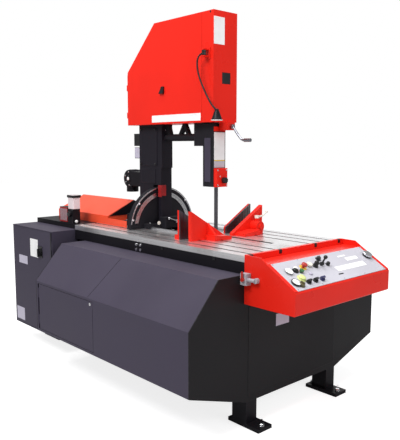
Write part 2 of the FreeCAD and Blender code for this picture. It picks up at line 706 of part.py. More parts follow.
def lower_frame():
    """Boot under the column and the web plate that carries the driven wheel."""
    boot = box(COLUMN_REAR, RETURN_X - 19, -COLUMN_HALF, COLUMN_HALF, LOWER_Z + 65, COLUMN_FOOT)
    boot = boot.cut(box(COLUMN_REAR + COLUMN_WALL, RETURN_X, -COLUMN_HALF + COLUMN_WALL,
                        COLUMN_HALF - COLUMN_WALL, LOWER_Z, COLUMN_FOOT + 1))
    web = along([(COLUMN_REAR, COLUMN_FOOT), (CUT_X + 30, COLUMN_FOOT), (CUT_X + 30, COLUMN_FOOT - 110),
                 (WHEEL_X + 120, LOWER_Z - 90), (WHEEL_X - 120, LOWER_Z - 90),
                 (COLUMN_REAR, LOWER_Z + 65)], WEB_IN, COLUMN_HALF)
    block = box(CUT_X - 22, CUT_X + 30, -20, WEB_IN, COLUMN_FOOT - 20, COLUMN_FOOT)
    guide = box(CUT_X - 22, CUT_X + 30, -20, 20, COLUMN_FOOT, COLUMN_FOOT + 58)
    slot = box(CUT_X - 30, CUT_X + BLADE_WIDE / 2 + 2, -BLADE_THICK, BLADE_THICK,
               COLUMN_FOOT - 30, COLUMN_FOOT + 70)
    body = join(boot, web, block, guide).cut(slot)
    return body.cut(rod((WHEEL_X, 0, LOWER_Z), (0, 1, 0), AXLE_R + 4, 100))


def head_outline(inset=0.0):
    lower_back = HEAD_BOTTOM + 349
    upper_back = HEAD_REAR + 323
    slant = inset * 0.5
    return [(HEAD_REAR + inset, HEAD_BOTTOM + inset), (HEAD_REAR + inset, lower_back - slant),
            (upper_back + slant, HEAD_TOP - inset), (HEAD_FRONT - inset, HEAD_TOP - inset),
            (HEAD_FRONT - inset, HEAD_BOTTOM + inset)]


HEAD_DOOR_FRONT = HEAD_FRONT - 105.0
HEAD_AXIS = (HEAD_REAR + 6.0, -HEAD_HALF + 6.0)


def head_hinge_heights():
    return (HEAD_BOTTOM + 50.0, HEAD_BOTTOM + 240.0)


def head_housing():
    shell = along(head_outline(), -HEAD_HALF, HEAD_HALF)
    shell = shell.cut(along(head_outline(HEAD_WALL), -HEAD_HALF + HEAD_WALL, HEAD_HALF - HEAD_WALL))
    shell = shell.cut(box(HEAD_REAR - 1, HEAD_DOOR_FRONT + 2, -HEAD_HALF - 1, -HEAD_HALF + HEAD_WALL + 2,
                          HEAD_BOTTOM - 1, HEAD_TOP + 1))
    floor = HEAD_BOTTOM - 1
    shell = shell.cut(box(POST_REAR - 4, POST_FRONT + 4, -POST_HALF - 4, POST_HALF + 4, floor, floor + 20))
    shell = shell.cut(box(COLUMN_REAR + COLUMN_WALL, SPINE_FRONT - COLUMN_WALL, -30, 30, floor, floor + 20))
    shell = shell.cut(box(HEAD_FRONT - 20, HEAD_FRONT + 1, -28, 45, UPPER_Z - 90, UPPER_Z - 20))
    pane = box(HEAD_FRONT - 5, HEAD_FRONT - 2, -28, 45, UPPER_Z - 90, UPPER_Z - 20)
    boss = rod((WHEEL_X, WHEEL_HALF + 10, UPPER_Z), (0, 1, 0), 45, HEAD_HALF - WHEEL_HALF - 12)
    axle = rod((WHEEL_X, -WHEEL_HALF - 14, UPPER_Z), (0, 1, 0), AXLE_R, 80)
    bracket = box(HEAD_FRONT - 40, HEAD_FRONT + 34, -12, 52, HEAD_BOTTOM - 48, HEAD_BOTTOM)
    bracket = bracket.cut(rod((HEAD_FRONT - 30, CRANK_Y, CRANK_Z), (1, 0, 0), 8 + FIT, 90))
    fixed = [hinge(*HEAD_AXIS, z, 1, 6.0, 20.0, 6.0)[0] for z in head_hinge_heights()]
    for z in head_hinge_heights():
        shell = shell.cut(rod((*HEAD_AXIS, z - 1), (0, 0, 1), 7.0, 42))
    return join(shell, pane, boss, axle, bracket, *lamp_ears(), *fixed)


def head_door():
    """Whole near cover of the head as far as the front strip, hinged at the back."""
    outline = [(HEAD_REAR + 17, HEAD_BOTTOM), (HEAD_REAR + 17, HEAD_BOTTOM + 349 + 16),
               (HEAD_REAR + 323, HEAD_TOP), (HEAD_DOOR_FRONT, HEAD_TOP), (HEAD_DOOR_FRONT, HEAD_BOTTOM)]
    panel = along(outline, -HEAD_HALF, -HEAD_HALF + HEAD_WALL)
    moving = [hinge(*HEAD_AXIS, z, 1, 6.0, 20.0, 22.0)[1] for z in head_hinge_heights()]
    return join(panel, *moving)


CRANK_Y = 20.0
CRANK_Z = HEAD_BOTTOM - 26.0


def crank_handle():
    x = HEAD_FRONT + 34
    shaft = rod((HEAD_FRONT - 28, CRANK_Y, CRANK_Z), (1, 0, 0), 8, 82)
    hub = rod((x + GAP, CRANK_Y, CRANK_Z), (1, 0, 0), 14, 18)
    arm = bent_tube([(x + 12, CRANK_Y, CRANK_Z), (x + 60, CRANK_Y + 6, CRANK_Z - 60),
                     (x + 86, CRANK_Y + 8, CRANK_Z - 84), (x + 150, CRANK_Y + 8, CRANK_Z - 84)], 7)
    grip = rod((x + 104, CRANK_Y + 8, CRANK_Z - 84), (1, 0, 0), 11, 50)
    return join(shaft, hub, arm, grip)


def band_wheel(z):
    rim = rod((WHEEL_X, -WHEEL_HALF, z), (0, 1, 0), WHEEL_R, 2 * WHEEL_HALF)
    flange = rod((WHEEL_X, WHEEL_HALF - 1, z), (0, 1, 0), WHEEL_R + 5, 3)
    inside = WHEEL_R - 26
    wheel = join(rim, flange)
    for y0 in (-WHEEL_HALF - 1, 6.0):
        wheel = wheel.cut(rod((WHEEL_X, y0, z), (0, 1, 0), inside, WHEEL_HALF - 5))
    for i in range(6):
        turn = math.radians(60 * i)
        x, dz = WHEEL_X + 165 * math.cos(turn), 165 * math.sin(turn)
        wheel = wheel.cut(rod((x, -WHEEL_HALF - 1, z + dz), (0, 1, 0), 55, 2 * WHEEL_HALF + 4))
    hub = rod((WHEEL_X, -WHEEL_HALF, z), (0, 1, 0), 48, 2 * WHEEL_HALF + 2)
    return join(wheel, hub)


def wheel_upper():
    return band_wheel(UPPER_Z).cut(
        rod((WHEEL_X, -WHEEL_HALF - 1, UPPER_Z), (0, 1, 0), AXLE_R + FIT, 2 * WHEEL_HALF + 6))


def wheel_lower():
    return join(band_wheel(LOWER_Z), rod((WHEEL_X, 0, LOWER_Z), (0, 1, 0), AXLE_R, 130))


def drive_gearbox():
    y0 = COLUMN_HALF
    body = box(WHEEL_X - 80, WHEEL_X + 80, y0, y0 + 98, LOWER_Z - 70, LOWER_Z + 70)
    return body.cut(rod((WHEEL_X, y0 - 1, LOWER_Z), (0, 1, 0), AXLE_R + FIT, 90))


def drive_motor():
    x = WHEEL_X - 80
    flange = rod((x - 16, COLUMN_HALF + 52, LOWER_Z), (1, 0, 0), 50, 16)
    body = rod((x - 240, COLUMN_HALF + 52, LOWER_Z), (1, 0, 0), 44, 224)
    return join(flange, body)


TWIST_STEPS = 10
PAD_HIGH = 50.0


def twisted_run(z0, z1):
    """Blade turned a quarter between a wheel, at z0, and a guide, at z1."""
    wires = []
    for i in range(TWIST_STEPS + 1):
        turn = math.radians(90.0 * i / TWIST_STEPS)
        z = z0 + (z1 - z0) * i / TWIST_STEPS
        w, t = BLADE_WIDE / 2, BLADE_THICK / 2
        pts = []
        for a, b in ((-w, -t), (w, -t), (w, t), (-w, t)):
            pts.append(V(CUT_X + a * math.sin(turn) + b * math.cos(turn),
                         a * math.cos(turn) - b * math.sin(turn), z))
        wires.append(Part.makePolygon(pts + pts[:1]))
    return Part.makeLoft(wires, True, True)


def saw_blade():
    """The band in two lengths end to end: the loop and the straight cutting run."""
    w, t = BLADE_WIDE / 2, BLADE_THICK / 2
    loops = []
    for z, up in ((UPPER_Z, 1), (LOWER_Z, -1)):
        ring = rod((WHEEL_X, -w, z), (0, 1, 0), BLADE_R + BLADE_THICK, BLADE_WIDE)
        ring = ring.cut(rod((WHEEL_X, -w - 1, z), (0, 1, 0), BLADE_R, BLADE_WIDE + 2))
        big = BLADE_R + 10
        z_cut = (z - big, z) if up > 0 else (z, z + big)
        loops.append(ring.cut(box(WHEEL_X - big, WHEEL_X + big, -w - 1, w + 1, *z_cut)))
    back = box(RETURN_X - t, RETURN_X + t, -w, w, LOWER_Z, UPPER_Z)
    low_start, low_end = LOWER_Z + 45, COLUMN_FOOT - 25
    top_start, top_end = UPPER_Z - 45, POST_BOTTOM + PAD_HIGH + POST_RISE + 10
    leads = [box(CUT_X - t, CUT_X + t, -w, w, LOWER_Z, low_start),
             box(CUT_X - t, CUT_X + t, -w, w, top_start, UPPER_Z)]
    cut_run = box(CUT_X - w, CUT_X + w, -t, t, low_end, top_end)
    loop = loops[0].fuse(loops[1:] + [back] + leads
                         + [twisted_run(low_start, low_end), twisted_run(top_start, top_end)])
    return Part.makeCompound([loop, cut_run])


def guide_beam():
    z = HEAD_BOTTOM - 89
    bar = rod((COLUMN_FRONT + 10, 0, z), (1, 0, 0), 24, POST_REAR - 92 - COLUMN_FRONT - 10)
    hangers = [along([(x, z), (x + 26, z), (x + 26 + lean, HEAD_BOTTOM), (x + lean, HEAD_BOTTOM)], -14, 14)
               for x, lean in ((-130, -30), (-40, 55), (62, -50))]
    block = box(POST_REAR - 92, POST_REAR - GAP, -45, 45, HEAD_BOTTOM - 145, HEAD_BOTTOM)
    return join(bar, block, *hangers)


def guide_post():
    """Hollow post that slides up into the head and carries the upper blade guides."""
    top = POST_BOTTOM + POST_LENGTH
    post = box(POST_REAR, POST_FRONT, -POST_HALF, POST_HALF, POST_BOTTOM, top)
    inner = POST_HALF - 26
    post = post.cut(box(POST_REAR + 13, POST_FRONT - 10, -inner, inner, POST_BOTTOM - 1, top + 1))
    post = post.cut(box(POST_REAR - 1, POST_REAR + 14, -inner, inner, top - 130, top + 1))
    pads = [box(CUT_X - 20, CUT_X + 14, y0, y1, POST_BOTTOM, POST_BOTTOM + PAD_HIGH)
            for y0, y1 in ((-inner, -0.95), (0.95, inner))]
    return join(post, *pads)


def guide_box():
    x = POST_FRONT
    body = box(x, x + 26, -POST_HALF + 4, POST_HALF - 4, POST_BOTTOM, POST_BOTTOM + 117)
    return body.makeFillet(4, [e for e in body.Edges if abs(e.CenterOfMass.x - x - 26) < 1])


KNOB_AT = (POST_FRONT + 26.0, 8.0, POST_BOTTOM + 42.0)


def guide_knob():
    x, y, z = KNOB_AT
    grip = rod((x + 6, y, z), (1, 0, 0), 19, 20)
    for i in range(8):
        turn = math.radians(45 * i)
        grip = grip.cut(rod((x + 5, y + 22 * math.cos(turn), z + 22 * math.sin(turn)), (1, 0, 0), 5, 22))
    return join(grip, rod((x + GAP, y, z), (1, 0, 0), 8, 8))


def tilt_motor():
    """Hydraulic motor and valve on the back of the column."""
    z, x = 1262.0, COLUMN_REAR - 149
    body = rod((x, -36, z), (0, 1, 0), 64, 116)
    end = rod((x, -44, z), (0, 1, 0), 30, 8)
    bracket = box(x + 20, COLUMN_REAR, -42, 42, z - 50, z + 52)
    cap = rod((x - 18, 10, z - 98), (0, 0, 1), 44, 56)
    return join(body, end, bracket, cap)


def junction_boxes():
    black = box(COLUMN_REAR - 66, COLUMN_REAR, -44, 30, 1500, 1587)
    grey = box(COLUMN_REAR - 60, COLUMN_REAR, -44, 20, 1412, 1490)
    return Part.makeCompound([black, grey])


LAMP_AT = (HEAD_FRONT - 48.0, -HEAD_HALF, HEAD_BOTTOM + 410.0)
LAMP_R = 6.0


def work_lamp():
    """Flexible-arm lamp, as one stiff piece that swivels at its foot."""
    x, y, z = LAMP_AT
    foot = rod((x, y - 34, z - 16), (0, 0, 1), 14, 32)
    arm = bent_tube([(x, y - 34, z), (x - 34, y - 46, z - 8), (x - 48, y - 50, z - 62),
                     (x - 30, y - 48, z - 140), (x + 14, y - 40, z - 230), (x + 62, y - 30, z - 310),
                     (x + 92, y - 20, z - 352)], LAMP_R)
    shade_top = z - 346
    cone = Part.makeCone(34, 12, 60, V(x + 96, y - 18, shade_top - 56), V(0, 0, 1))
    hollow = Part.makeCone(31, 10, 52, V(x + 96, y - 18, shade_top - 56.01), V(0, 0, 1))
    bulb = Part.makeSphere(13, V(x + 96, y - 18, shade_top - 12))
    return join(foot, arm, cone.cut(hollow), bulb)


def lamp_ears():
    """Plate and two ears on the head's front strip, above and below the lamp's foot."""
    x, y, z = LAMP_AT
    plate = box(x - 22, x + 22, y - 5, y, z - 34, z + 34)
    ears = [box(x - 12, x + 12, y - 46, y - 4, h, h + 8) for h in (z - 16 - GAP - 8, z + 16 + GAP)]
    return [plate] + ears


# ---- write every piece --------------------------------------------------------------
PIECES = {
    "hull_side_left": hull_side_left, "hull_side_right": hull_side_right,
    "hull_floor": hull_floor, "hull_front": hull_front, "rear_frame": rear_frame,
    "rear_deck": rear_deck, "legs": legs, "table_beams": table_beams,
    "table_left": table_left, "table_right": table_right, "carriage_rails": carriage_rails,
    "access_door": access_door, "door_lock": door_lock,
    "cabinet_body": cabinet_body, "cabinet_door": cabinet_door, "isolator_switch": isolator_switch,
    "rear_cover": rear_cover, "feed_cylinder": feed_cylinder, "feed_rod": feed_rod,
    "lubricator_tank": lubricator_tank, "lubricator_pump": lubricator_pump,
    "console_housing": console_housing, "console_panel": console_panel,
    "button_start": lambda: push_button("button_start"),
    "button_stop": lambda: push_button("button_stop"),
    "estop_button": estop_button,
    "selector_knob_1": lambda: rotary_knob("selector_knob_1"),
    "selector_knob_2": lambda: rotary_knob("selector_knob_2"),
    "speed_knob": lambda: rotary_knob("speed_knob"),
    "feed_lever": feed_lever, "pressure_gauge": pressure_gauge,
    "supply_valve": supply_valve, "valve_handle": valve_handle,
    "vise_fixed_left": vise_fixed_left, "vise_fixed_right": vise_fixed_right,
    "jaw_liners": jaw_liners, "vise_moving_left": vise_moving_left,
    "vise_moving_right": vise_moving_right, "clamp_lever": clamp_lever,
    "quadrant": quadrant, "angle_scale": angle_scale, "carriage_base": carriage_base,
    "lock_lever": lock_lever,
    "column": column, "lower_frame": lower_frame, "head_housing": head_housing,
    "head_door": head_door, "crank_handle": crank_handle, "saw_blade": saw_blade,
    "wheel_upper": wheel_upper, "wheel_lower": wheel_lower, "drive_gearbox": drive_gearbox,
    "drive_motor": drive_motor, "guide_beam": guide_beam, "guide_post": guide_post,
    "guide_box": guide_box, "guide_knob": guide_knob, "tilt_motor": tilt_motor,
    "junction_boxes": junction_boxes, "work_lamp": work_lamp,
}


def main():
    os.makedirs("parts", exist_ok=True)
    for name, make in PIECES.items():
        shape = make()
        if not shape.isValid():
            print("not valid:", name)
        print(f"{name:18s} solids {len(shape.Solids)}  volume {shape.Volume / 1000:.1f} cm3")
        shape.exportStep(f"parts/{name}.step")


main()
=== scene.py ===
"""Looks of the vertical tilt-frame band saw: paint, metal and plastic finishes, and the small
parts that the design leaves to this file. Metres, in the machine's own frame."""
import bpy
import json
import math
from mathutils import Matrix, Vector


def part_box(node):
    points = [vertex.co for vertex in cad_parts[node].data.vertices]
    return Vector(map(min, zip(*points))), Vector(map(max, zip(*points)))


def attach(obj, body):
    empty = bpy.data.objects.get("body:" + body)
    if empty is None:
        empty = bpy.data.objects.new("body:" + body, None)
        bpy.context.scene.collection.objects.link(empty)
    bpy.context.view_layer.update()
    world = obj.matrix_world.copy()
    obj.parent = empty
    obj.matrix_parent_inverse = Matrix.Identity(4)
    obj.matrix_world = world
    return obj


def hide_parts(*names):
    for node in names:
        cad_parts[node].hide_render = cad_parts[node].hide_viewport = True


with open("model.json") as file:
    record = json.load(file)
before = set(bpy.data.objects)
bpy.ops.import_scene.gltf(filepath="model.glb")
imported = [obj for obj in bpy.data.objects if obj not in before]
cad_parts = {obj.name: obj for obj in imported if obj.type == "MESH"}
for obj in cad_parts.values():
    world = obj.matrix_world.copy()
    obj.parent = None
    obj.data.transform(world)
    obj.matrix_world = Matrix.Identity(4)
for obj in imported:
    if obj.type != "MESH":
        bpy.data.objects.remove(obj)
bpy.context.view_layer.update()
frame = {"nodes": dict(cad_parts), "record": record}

AHEAD, NEAR, FAR = (1, 0, 0), (0, -1, 0), (0, 1, 0)      # the console is ahead
UP, DOWNWARD = (0, 0, 1), (0, 0, -1)


# ---- shared shader groups -----------------------------------------------------------
def new_group(name, inputs, outputs):
    group = bpy.data.node_groups.new(name, "ShaderNodeTree")
    for label, default in inputs:
        socket = group.interface.new_socket(label, in_out="INPUT", socket_type="NodeSocketFloat")
        socket.default_value = default
    for label in outputs:
        group.interface.new_socket(label, in_out="OUTPUT", socket_type="NodeSocketFloat")
    return group, group.nodes.new("NodeGroupInput"), group.nodes.new("NodeGroupOutput")


def math_node(tree, operation, a, b=None, clamp=False):
    node = tree.nodes.new("ShaderNodeMath")
    node.operation = operation
    node.use_clamp = clamp
    for i, value in enumerate((a, b)):
        if value is None:
            continue
        if isinstance(value, (int, float)):
            node.inputs[i].default_value = value
        else:
            tree.links.new(value, node.inputs[i])
    return node.outputs[0]


def make_worn_edges():
    """Mask that is 1 on worn outer edges and 0 on flats, broken up by noise."""
    group, into, out = new_group("worn_edges",
                                 [("Radius", 0.003), ("Break up", 60.0), ("Amount", 0.6)], ["Mask"])
    link = group.links.new
    bevel = group.nodes.new("ShaderNodeBevel")
    bevel.samples = 4
    geometry = group.nodes.new("ShaderNodeNewGeometry")
    dot = group.nodes.new("ShaderNodeVectorMath")
    dot.operation = "DOT_PRODUCT"
    coords = group.nodes.new("ShaderNodeTexCoord")
    noise = group.nodes.new("ShaderNodeTexNoise")
    noise.inputs["Detail"].default_value = 4
    link(into.outputs["Radius"], bevel.inputs["Radius"])
    link(bevel.outputs["Normal"], dot.inputs[0])
    link(geometry.outputs["True Normal"], dot.inputs[1])
    link(coords.outputs["Object"], noise.inputs["Vector"])
    link(into.outputs["Break up"], noise.inputs["Scale"])
    edge = math_node(group, "SUBTRACT", 0.985, dot.outputs["Value"], clamp=True)
    edge = math_node(group, "MULTIPLY", edge, 9.0, clamp=True)
    chips = math_node(group, "SUBTRACT", noise.outputs["Fac"], 0.50, clamp=True)
    chips = math_node(group, "MULTIPLY", chips, 8.0, clamp=True)
    mask = math_node(group, "MULTIPLY", edge, chips)
    link(math_node(group, "MULTIPLY", mask, into.outputs["Amount"]), out.inputs["Mask"])
    return group


def make_mottle():
    """Large soft patches and fine specks, each from 0 to 1."""
    group, into, out = new_group("mottle", [("Patch scale", 3.0), ("Speck scale", 220.0)],
                                 ["Patches", "Specks"])
    coords = group.nodes.new("ShaderNodeTexCoord")
    for label, scale, detail in (("Patches", "Patch scale", 5.0), ("Specks", "Speck scale", 2.0)):
        noise = group.nodes.new("ShaderNodeTexNoise")
        noise.inputs["Detail"].default_value = detail
        group.links.new(coords.outputs["Object"], noise.inputs["Vector"])
        group.links.new(into.outputs[scale], noise.inputs["Scale"])
        group.links.new(noise.outputs["Fac"], out.inputs[label])
    return group


def make_grain():
    """Fine machining or brushing lines, long in the axis with the lowest scale."""
    group, into, out = new_group("grain", [("Along X", 4.0), ("Along Y", 300.0),
                                           ("Along Z", 300.0)], ["Lines"])
    coords = group.nodes.new("ShaderNodeTexCoord")
    stretch = group.nodes.new("ShaderNodeCombineXYZ")
    for i, label in enumerate(("Along X", "Along Y", "Along Z")):
        group.links.new(into.outputs[label], stretch.inputs[i])
    scaled = group.nodes.new("ShaderNodeVectorMath")
    scaled.operation = "MULTIPLY"
    noise = group.nodes.new("ShaderNodeTexNoise")
    noise.inputs["Scale"].default_value = 1.0
    noise.inputs["Detail"].default_value = 3
    group.links.new(coords.outputs["Object"], scaled.inputs[0])
    group.links.new(stretch.outputs["Vector"], scaled.inputs[1])
    group.links.new(scaled.outputs["Vector"], noise.inputs["Vector"])
    group.links.new(noise.outputs["Fac"], out.inputs["Lines"])
    return group


def make_settled_dust():
    """Mask for dust on faces that look up."""
    group, into, out = new_group("settled_dust", [("Amount", 0.3), ("Scale", 9.0)], ["Mask"])
    geometry = group.nodes.new("ShaderNodeNewGeometry")
    split = group.nodes.new("ShaderNodeSeparateXYZ")
    coords = group.nodes.new("ShaderNodeTexCoord")
    noise = group.nodes.new("ShaderNodeTexNoise")
    noise.inputs["Detail"].default_value = 6
    group.links.new(geometry.outputs["Normal"], split.inputs[0])
    group.links.new(coords.outputs["Object"], noise.inputs["Vector"])
    group.links.new(into.outputs["Scale"], noise.inputs["Scale"])
    up = math_node(group, "SUBTRACT", split.outputs["Z"], 0.35, clamp=True)
    patch = math_node(group, "MULTIPLY", up, noise.outputs["Fac"])
    group.links.new(math_node(group, "MULTIPLY", patch, into.outputs["Amount"]), out.inputs["Mask"])
    return group


def make_recess_painted_shade():
    """Mask of painted shade: darkens slots and inner corners that ambient occlusion finds."""
    group, into, out = new_group("recess_painted_shade", [("Reach", 0.03), ("Amount", 0.8)], ["Mask"])
    hollow = group.nodes.new("ShaderNodeAmbientOcclusion")
    hollow.samples = 8
    hollow.only_local = True
    group.links.new(into.outputs["Reach"], hollow.inputs["Distance"])
    deep = math_node(group, "SUBTRACT", 0.62, hollow.outputs["AO"], clamp=True)
    deep = math_node(group, "MULTIPLY", deep, 3.2, clamp=True)
    group.links.new(math_node(group, "MULTIPLY", deep, into.outputs["Amount"]), out.inputs["Mask"])
    return group


WORN_EDGES = make_worn_edges()
MOTTLE = make_mottle()
GRAIN = make_grain()
SETTLED_DUST = make_settled_dust()
RECESS_PAINTED_SHADE = make_recess_painted_shade()


def use(tree, group, **values):
    """Adds a shared group and sets its inputs; an underscore stands for a space."""
    node = tree.nodes.new("ShaderNodeGroup")
    node.node_tree = group
    for label, value in values.items():
        node.inputs[label.replace("_", " ")].default_value = value
    return node


def mix(tree, mask, a, b):
    """Colour a where the mask is 0 and b where it is 1."""
    node = tree.nodes.new("ShaderNodeMix")
    node.data_type = "RGBA"
    tree.links.new(mask, node.inputs["Factor"])
    for socket, value in ((node.inputs[6], a), (node.inputs[7], b)):
        if isinstance(value, tuple):
            socket.default_value = (*value, 1.0)
        else:
            tree.links.new(value, socket)
    return node.outputs[2]


NOISE_LOW, NOISE_HIGH = 0.3, 0.7           # nearly all noise values lie between these


def remap(tree, value, low, high):
    """Spreads a noise value from low to high."""
    node = tree.nodes.new("ShaderNodeMapRange")
    tree.links.new(value, node.inputs["Value"])
    node.inputs["From Min"].default_value = NOISE_LOW
    node.inputs["From Max"].default_value = NOISE_HIGH
    node.inputs["To Min"].default_value = low
    node.inputs["To Max"].default_value = high
    return node.outputs["Result"]


def new_material(name):
    material = bpy.data.materials.new(name)
    material.use_nodes = True
    return material, material.node_tree, material.node_tree.nodes["Principled BSDF"]


def bumped(tree, shader, height, strength, distance, soften=0.0015):
    """Bump on top of softly rounded edges."""
    bump = tree.nodes.new("ShaderNodeBump")
    bump.inputs["Strength"].default_value = strength
    bump.inputs["Distance"].default_value = distance
    tree.links.new(height, bump.inputs["Height"])
    bevel = tree.nodes.new("ShaderNodeBevel")
    bevel.samples = 4
    bevel.inputs["Radius"].default_value = soften
    tree.links.new(bevel.outputs["Normal"], bump.inputs["Normal"])
    tree.links.new(bump.outputs["Normal"], shader.inputs["Normal"])


def scaled(colour, factor):
    return tuple(min(1.0, c * factor) for c in colour)


def paint(name, colour, rough=(0.28, 0.42), peel=0.12, wear=0.5, bare=(0.05, 0.05, 0.055),
          dust=0.15, coat=0.0, gloss=0.3):
    """Sprayed enamel: slight orange peel, uneven tone, chips on the edges and some dust."""
    material, tree, shader = new_material(name)
    mottle = use(tree, MOTTLE, Patch_scale=2.2, Speck_scale=260.0)
    tone = mix(tree, mottle.outputs["Patches"], scaled(colour, 0.84), scaled(colour, 1.14))
    worn = use(tree, WORN_EDGES, Radius=0.003, Break_up=45.0, Amount=wear)
    tone = mix(tree, worn.outputs["Mask"], tone, bare)
    dusty = use(tree, SETTLED_DUST, Amount=dust, Scale=7.0)
    tone = mix(tree, dusty.outputs["Mask"], tone, (0.34, 0.33, 0.32))
    tree.links.new(tone, shader.inputs["Base Color"])
    tree.links.new(remap(tree, mottle.outputs["Patches"], *rough), shader.inputs["Roughness"])
    shader.inputs["Specular IOR Level"].default_value = gloss
    shader.inputs["Coat Weight"].default_value = coat
    shader.inputs["Coat Roughness"].default_value = 0.12
    bumped(tree, shader, mottle.outputs["Specks"], peel, 0.0006)
    return material


def casting(name, colour, rough=(0.5, 0.7)):
    """Painted sand casting with a coarse skin."""
    return paint(name, colour, rough=rough, peel=0.45, wear=0.35, bare=(0.14, 0.14, 0.15),
                 dust=0.04, gloss=0.2)


def metal(name, colour, rough=(0.22, 0.38), lines=(4.0, 320.0, 320.0), stain=(0.30, 0.27, 0.24),
          stain_amount=0.35, hollow_shade=0.0):
    """Bare metal with machining lines and faint oil stains, and painted shade in hollows if asked
    for.
    """
    material, tree, shader = new_material(name)
    grain = use(tree, GRAIN, Along_X=lines[0], Along_Y=lines[1], Along_Z=lines[2])
    mottle = use(tree, MOTTLE, Patch_scale=6.0, Speck_scale=150.0)
    tone = mix(tree, grain.outputs["Lines"], scaled(colour, 0.78), scaled(colour, 1.15))
    stains = math_node(tree, "SUBTRACT", mottle.outputs["Patches"], 0.52, clamp=True)
    stains = math_node(tree, "MULTIPLY", stains, 6.0 * stain_amount, clamp=True)
    tone = mix(tree, stains, tone, stain)
    # Painted shade: slots and hollows darkened nearly to black.
    if hollow_shade:
        shaded_hollows = use(tree, RECESS_PAINTED_SHADE, Reach=0.03, Amount=hollow_shade)
        tone = mix(tree, shaded_hollows.outputs["Mask"], tone, (0.012, 0.011, 0.012))
    tree.links.new(tone, shader.inputs["Base Color"])
    shader.inputs["Metallic"].default_value = 1.0
    tree.links.new(remap(tree, grain.outputs["Lines"], *rough), shader.inputs["Roughness"])
    bumped(tree, shader, grain.outputs["Lines"], 0.18, 0.0004, 0.0008)
    return material


def plastic(name, colour, rough=(0.3, 0.45), grainy=0.2, coat=0.0):
    material, tree, shader = new_material(name)
    mottle = use(tree, MOTTLE, Patch_scale=14.0, Speck_scale=900.0)
    tone = mix(tree, mottle.outputs["Patches"], scaled(colour, 0.88), scaled(colour, 1.12))
    worn = use(tree, WORN_EDGES, Radius=0.0012, Break_up=120.0, Amount=0.3)
    tone = mix(tree, worn.outputs["Mask"], tone, scaled(colour, 1.6))
    tree.links.new(tone, shader.inputs["Base Color"])
    tree.links.new(remap(tree, mottle.outputs["Patches"], *rough), shader.inputs["Roughness"])
    shader.inputs["Coat Weight"].default_value = coat
    bumped(tree, shader, mottle.outputs["Specks"], grainy, 0.0002, 0.001)
    return material


RED = (0.82, 0.020, 0.010)
CHARCOAL = (0.056, 0.048, 0.075)
BLACK = (0.009, 0.008, 0.011)

MATERIALS = {
    "red_paint": paint("red_enamel", RED, rough=(0.25, 0.36), wear=0.35, bare=(0.25, 0.02, 0.012),
                       coat=0.04, dust=0.03, gloss=0.16),
    "charcoal_paint": paint("charcoal_powder_coat", CHARCOAL, rough=(0.42, 0.56), peel=0.3,
                            wear=0.4, bare=(0.14, 0.14, 0.15), dust=0.10, gloss=0.14),
    "black_paint": paint("black_enamel", BLACK, rough=(0.3, 0.45), peel=0.2, wear=0.4,
                         bare=(0.10, 0.10, 0.11), dust=0.02, gloss=0.16),
    "black_casting": casting("black_casting", (0.011, 0.010, 0.014)),
    # The table's slots get painted shade as near-black in their hollows.
    "machined_iron": metal("machined_table_iron", (0.97, 0.96, 0.99), rough=(0.26, 0.44),
                           stain=(0.5, 0.46, 0.44), hollow_shade=0.92),
    "bright_steel": metal("ground_steel", (0.72, 0.72, 0.74), rough=(0.2, 0.34), stain_amount=0.15),
    "blade_steel": metal("blade_steel", (0.16, 0.16, 0.18), rough=(0.34, 0.46),
                         lines=(300.0, 300.0, 5.0)),
    "panel_grey": paint("panel_grey", (0.56, 0.55, 0.61), rough=(0.35, 0.45), wear=0.3, dust=0.05),
    "black_plastic": plastic("black_plastic", (0.007, 0.007, 0.008)),
    "white_plastic": plastic("cream_plastic", (0.80, 0.76, 0.68), coat=0.3),
    "tank_plastic": plastic("tank_plastic", (0.84, 0.72, 0.74), rough=(0.25, 0.35), coat=0.2),
    "green_plastic": plastic("green_plastic", (0.03, 0.16, 0.05), coat=0.5),
    "red_plastic": plastic("red_plastic", (0.45, 0.02, 0.012), coat=0.5),
    "navy_plastic": plastic("navy_plastic", (0.02, 0.02, 0.10), coat=0.4),
    "grey_metal": paint("grey_machine_paint", (0.42, 0.40, 0.44), rough=(0.4, 0.5), peel=0.25,
                        dust=0.1),
}
LABEL_WHITE = plastic("label_white", (0.92, 0.91, 0.92), grainy=0.05)
LABEL_YELLOW = plastic("label_yellow", (0.80, 0.55, 0.05), grainy=0.05)
DARK_GLASS = plastic("dark_window", (0.006, 0.006, 0.008), rough=(0.12, 0.2), grainy=0.02,
                     coat=0.25)
LABEL_PINK = plastic("pink_ring", (0.80, 0.34, 0.33), grainy=0.05)
LABEL_LILAC = plastic("label_lilac", (0.52, 0.49, 0.60), grainy=0.05)
COLUMN_COAT = paint("column_powder_coat", (0.013, 0.011, 0.017), rough=(0.4, 0.5), peel=0.3,
                    wear=0.3, bare=(0.1, 0.1, 0.11), dust=0.02, gloss=0.16)
# Darker charcoal on the hull front: partly its own darker paint, partly painted shade under the
# console.
FRONT_COAT_AND_SHADE = paint("front_coat_and_painted_shade", (0.013, 0.012, 0.014), rough=(0.42, 0.54), peel=0.3, wear=0.4,
                   bare=(0.1, 0.1, 0.1), dust=0.02, gloss=0.16)
COVER_RED = paint("cover_orange_enamel", (0.86, 0.085, 0.035), rough=(0.25, 0.36), wear=0.35,
                  bare=(0.3, 0.03, 0.015), dust=0.12)
LINER_STEEL = metal("jaw_liner_steel", (0.13, 0.12, 0.14), rough=(0.3, 0.45),
                    lines=(300.0, 8.0, 300.0))
CRANK_STEEL = metal("crank_steel", (0.32, 0.32, 0.36), rough=(0.22, 0.34), stain_amount=0.1)
